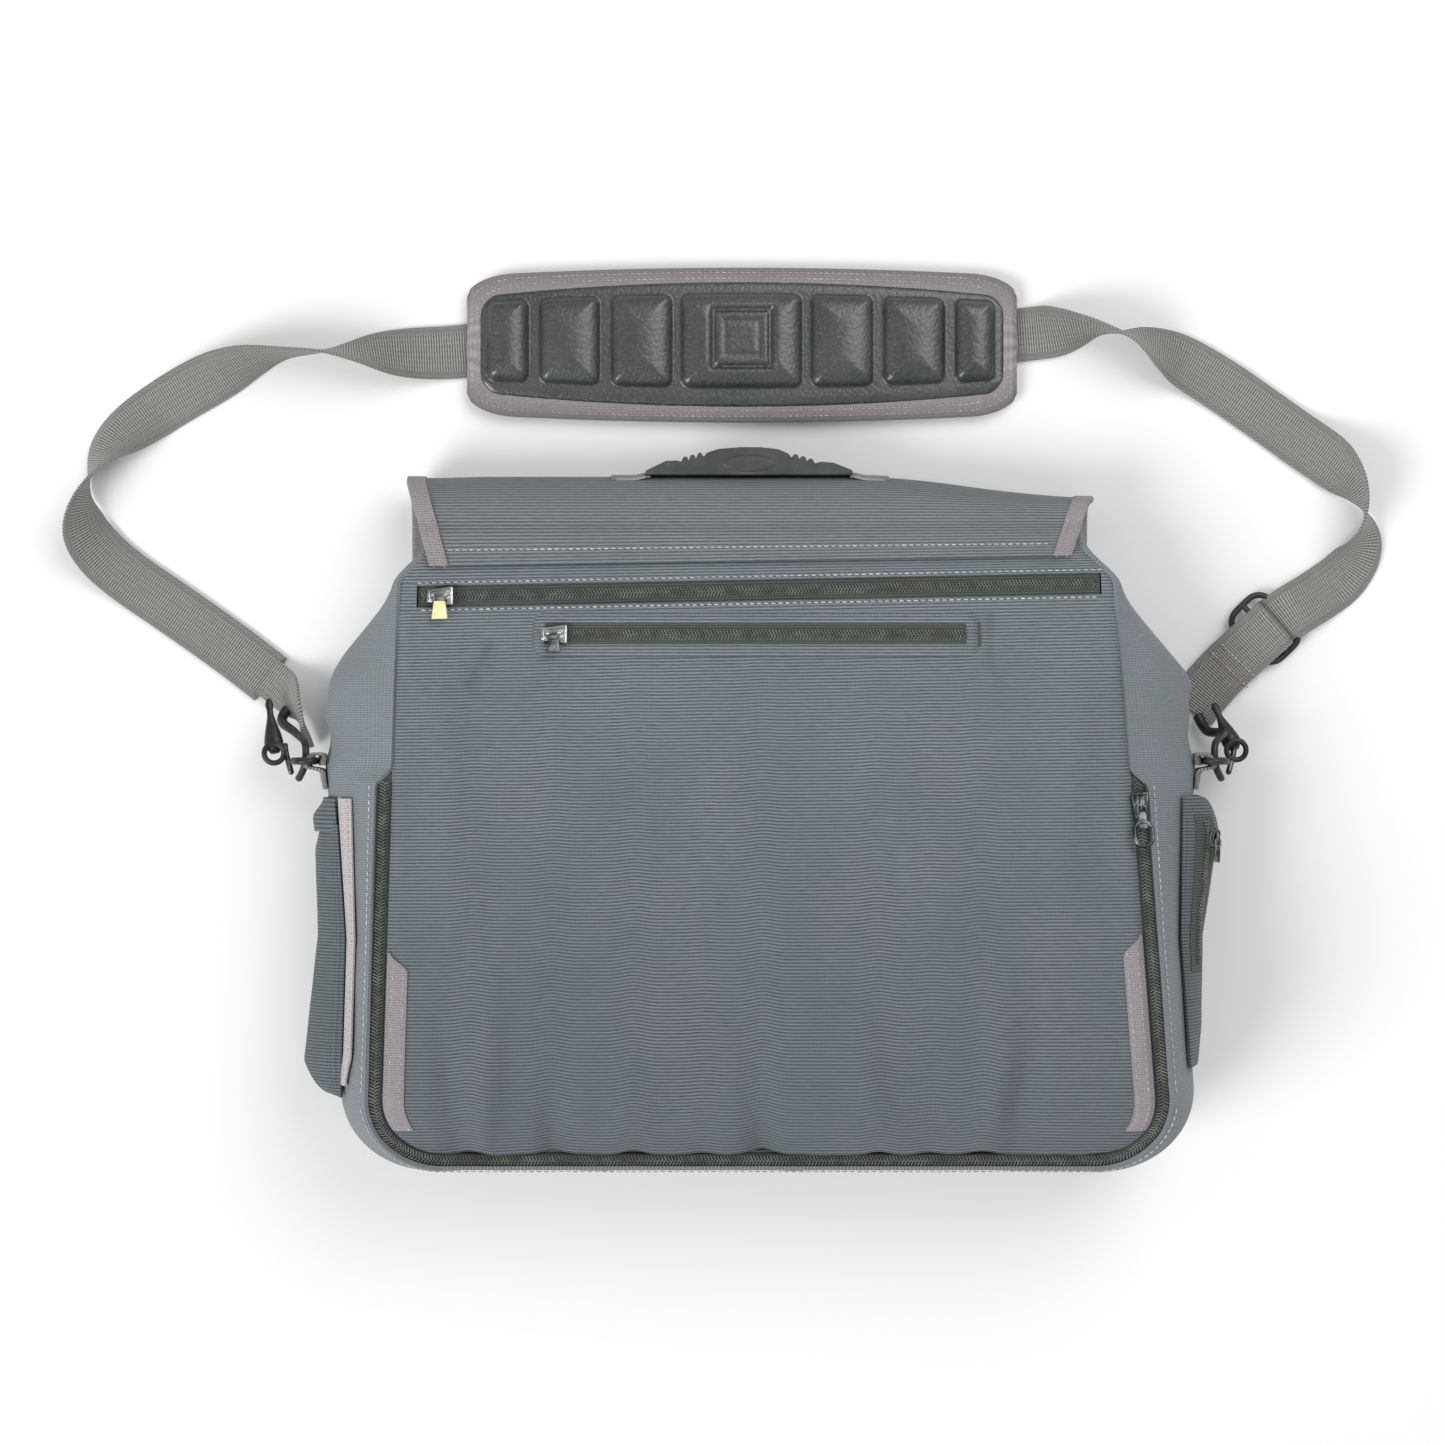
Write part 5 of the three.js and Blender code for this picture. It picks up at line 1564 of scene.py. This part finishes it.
# low corner bindings
corner = {-1: -55.0, 1: -47.0, "low": cornerY - 14, "width": 9.6}  # each side's top y
for side, name in sideWord.items():
    def cornerPoint(a, b, side=side):
        y = mix(corner[side], corner["low"], b)
        outer = panelEdgeX(side, y) - side * 0.8
        x = outer - side * corner["width"] * mix(1, smooth(b * 9), 0.85) * a
        dome = 0.35 * sin(pi * a) + 0.1 * ripple(x * 2, y * 2, 5, 61.0)
        return Vector((x, y, backFace(x, y) + 0.75 + dome))

    finishPiece(clothPiece(
        name + "CornerBinding", (14, 60), (corner["width"], corner[side] - corner["low"]),
        cornerPoint, 0.7), bindingTape, (name + "_corner_binding",))
    bindingStitches(name + "CornerStitches", [
        ([cornerPoint(inset, mix(0.1, 0.99, k / 24)) for k in range(25)], up)
        for inset in (0.82, 0.3)], 0.26)

# carry handle
handle = {
    "z": (10.0, 34.0),
    "top": [
        (-56, 167.0), (-46.5, 171.6), (-40.8, 171.8), (-39.4, 171.0), (-38.2, 173.6),
        (-36.6, 173.6), (-35.9, 171.6), (-34.8, 174.5), (-33.2, 174.5), (-32.5, 172.4),
        (-31.3, 175.4), (-29.8, 175.4), (-29.0, 173.4), (-27.3, 175.4), (-21.8, 177.2),
        (-12, 178.0), (-2, 178.0), (6, 177.1), (11, 175.0), (12.4, 173.0), (13.6, 174.8),
        (15.2, 174.6), (16.0, 172.4), (17.2, 173.9), (18.8, 173.6), (19.6, 171.4),
        (20.8, 172.8), (22.3, 172.4), (23.2, 170.4), (26.1, 171.2), (32, 170.8), (41, 167.2)],
    "under": [(41, 165.2), (14, 165.2), (-7, 165.2), (-28, 165.2), (-56, 165.2)],
    "inset": (-7.6, 170.4), "insetHalf": (12.6, 4.0),
}
handleLow, handleHigh = handle["z"]
outline = [(x, y, handleLow) for x, y in handle["top"] + handle["under"]]
handleGrip = meshPiece("handleGrip", outline, [tuple(range(len(outline)))])
selectOnly(handleGrip)
bpy.ops.object.mode_set(mode="EDIT")
bpy.ops.mesh.select_all(action="SELECT")
bpy.ops.mesh.extrude_region_move(
    TRANSFORM_OT_translate={"value": (0, 0, (handleHigh - handleLow) * mm)})
bpy.ops.object.mode_set(mode="OBJECT")
outNormals(handleGrip)
applyModifier(handleGrip, "BEVEL", width=0.55 * mm, segments=2, limit_method="ANGLE",
              angle_limit=radians(25))
finishPiece(handleGrip, gripRubber, ("handle_grip",), 35, "handle")


def insetPoint(a, b):
    turn, reach = tau * a, 1 - b
    (x, y), (halfX, halfY) = handle["inset"], handle["insetHalf"]
    dome = 0.9 * sqrt(max(0, 1 - reach ** 6))
    return x + halfX * reach * cos(turn), y + halfY * reach * sin(turn), handleHigh + dome


finishPiece(clothPiece(
    "handleInset", (48, 10), (60, 12), insetPoint, 0, Vector((*handle["inset"], 30)), wrap=True),
    smoothRubber, ("handle_inset",), body="handle")
for side, name in sideWord.items():
    low, high = (Vector(p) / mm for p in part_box("handle_" + name + "_tab"))
    inner, outer = (high.x, low.x) if side < 0 else (low.x, high.x)

    def handleTabPoint(a, b, low=low, high=high, inner=inner, outer=outer, side=side):
        x = mix(outer, inner - side * 2.5, a)
        z = mix(low.z, high.z, b)
        reach, offMiddle = flap["crown"] + 1.0, z - flap["crown"]
        y = bag["mouthY"] + sqrt(max(0, reach ** 2 - offMiddle ** 2)) - 0.1
        y += 1.2 * smooth((a - 0.55) / 0.4) - flapSag(x) * (1 - 0.9 * smooth(a))
        return x, y, z

    tab = finishPiece(clothPiece(
        name + "HandleTab", (20, 24), (25, 22), handleTabPoint, 0.9, flapMiddle), strapWebbing,
        ("handle_" + name + "_tab",), 50, None)
    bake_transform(tab)
print("handle ready")

# topstitching on the back
upward = Vector((0, 0.19, 1))


def backLine(spots, lift=0.15):
    return [Vector((x, y, backFace(x, y) + lift)) for x, y in spots], upward


yokeLine = [
    Vector((x, upperZipAt(x) + 6.4, backHeight(upperZipAt(x) + 6.4) + 0.15))
    for x in range(-160, 156, 5)]
topLines = [
    (yokeLine, upward), backLine([(x, upperZipAt(x) - 6.4) for x in range(-158, 154, 5)]),
    backLine([(p.x, p.y) for p, along in spaced(facingLine(0.2), 3)], 0.75)]
for side in sideWord:
    topLines.append((
        [gussetPoint(side, y, 0.03, 0.25) for y in range(19, -118, -3)],
        Vector((side * 0.45, 0, 0.9))))
stitchPiece("topStitches", topLines, paleThread)
bottomRow = []
for k in range(81):
    t = mix(0.02, 0.98, k / 80)
    bulge = mix(bag["bottomBulge"], bulgeAt(cornerY), smooth(abs(t - 0.5) * 4 - 1))
    x, y = bottomEdge(t, bag["groove"] + 0.5 + bulge * sin(pi * 0.03))
    top = backHeight(max(bag["bottomY"], bottomEdge(t, 0)[1])) - bag["fold"]
    bottomRow.append(Vector((x, y, top * 0.972)))
stitchPiece(
    "bottomStitches", [(bottomRow, lambda p: awayFromMiddle(p) * 0.6 + 0.8 * up)], paleThread)
print("stitches ready")
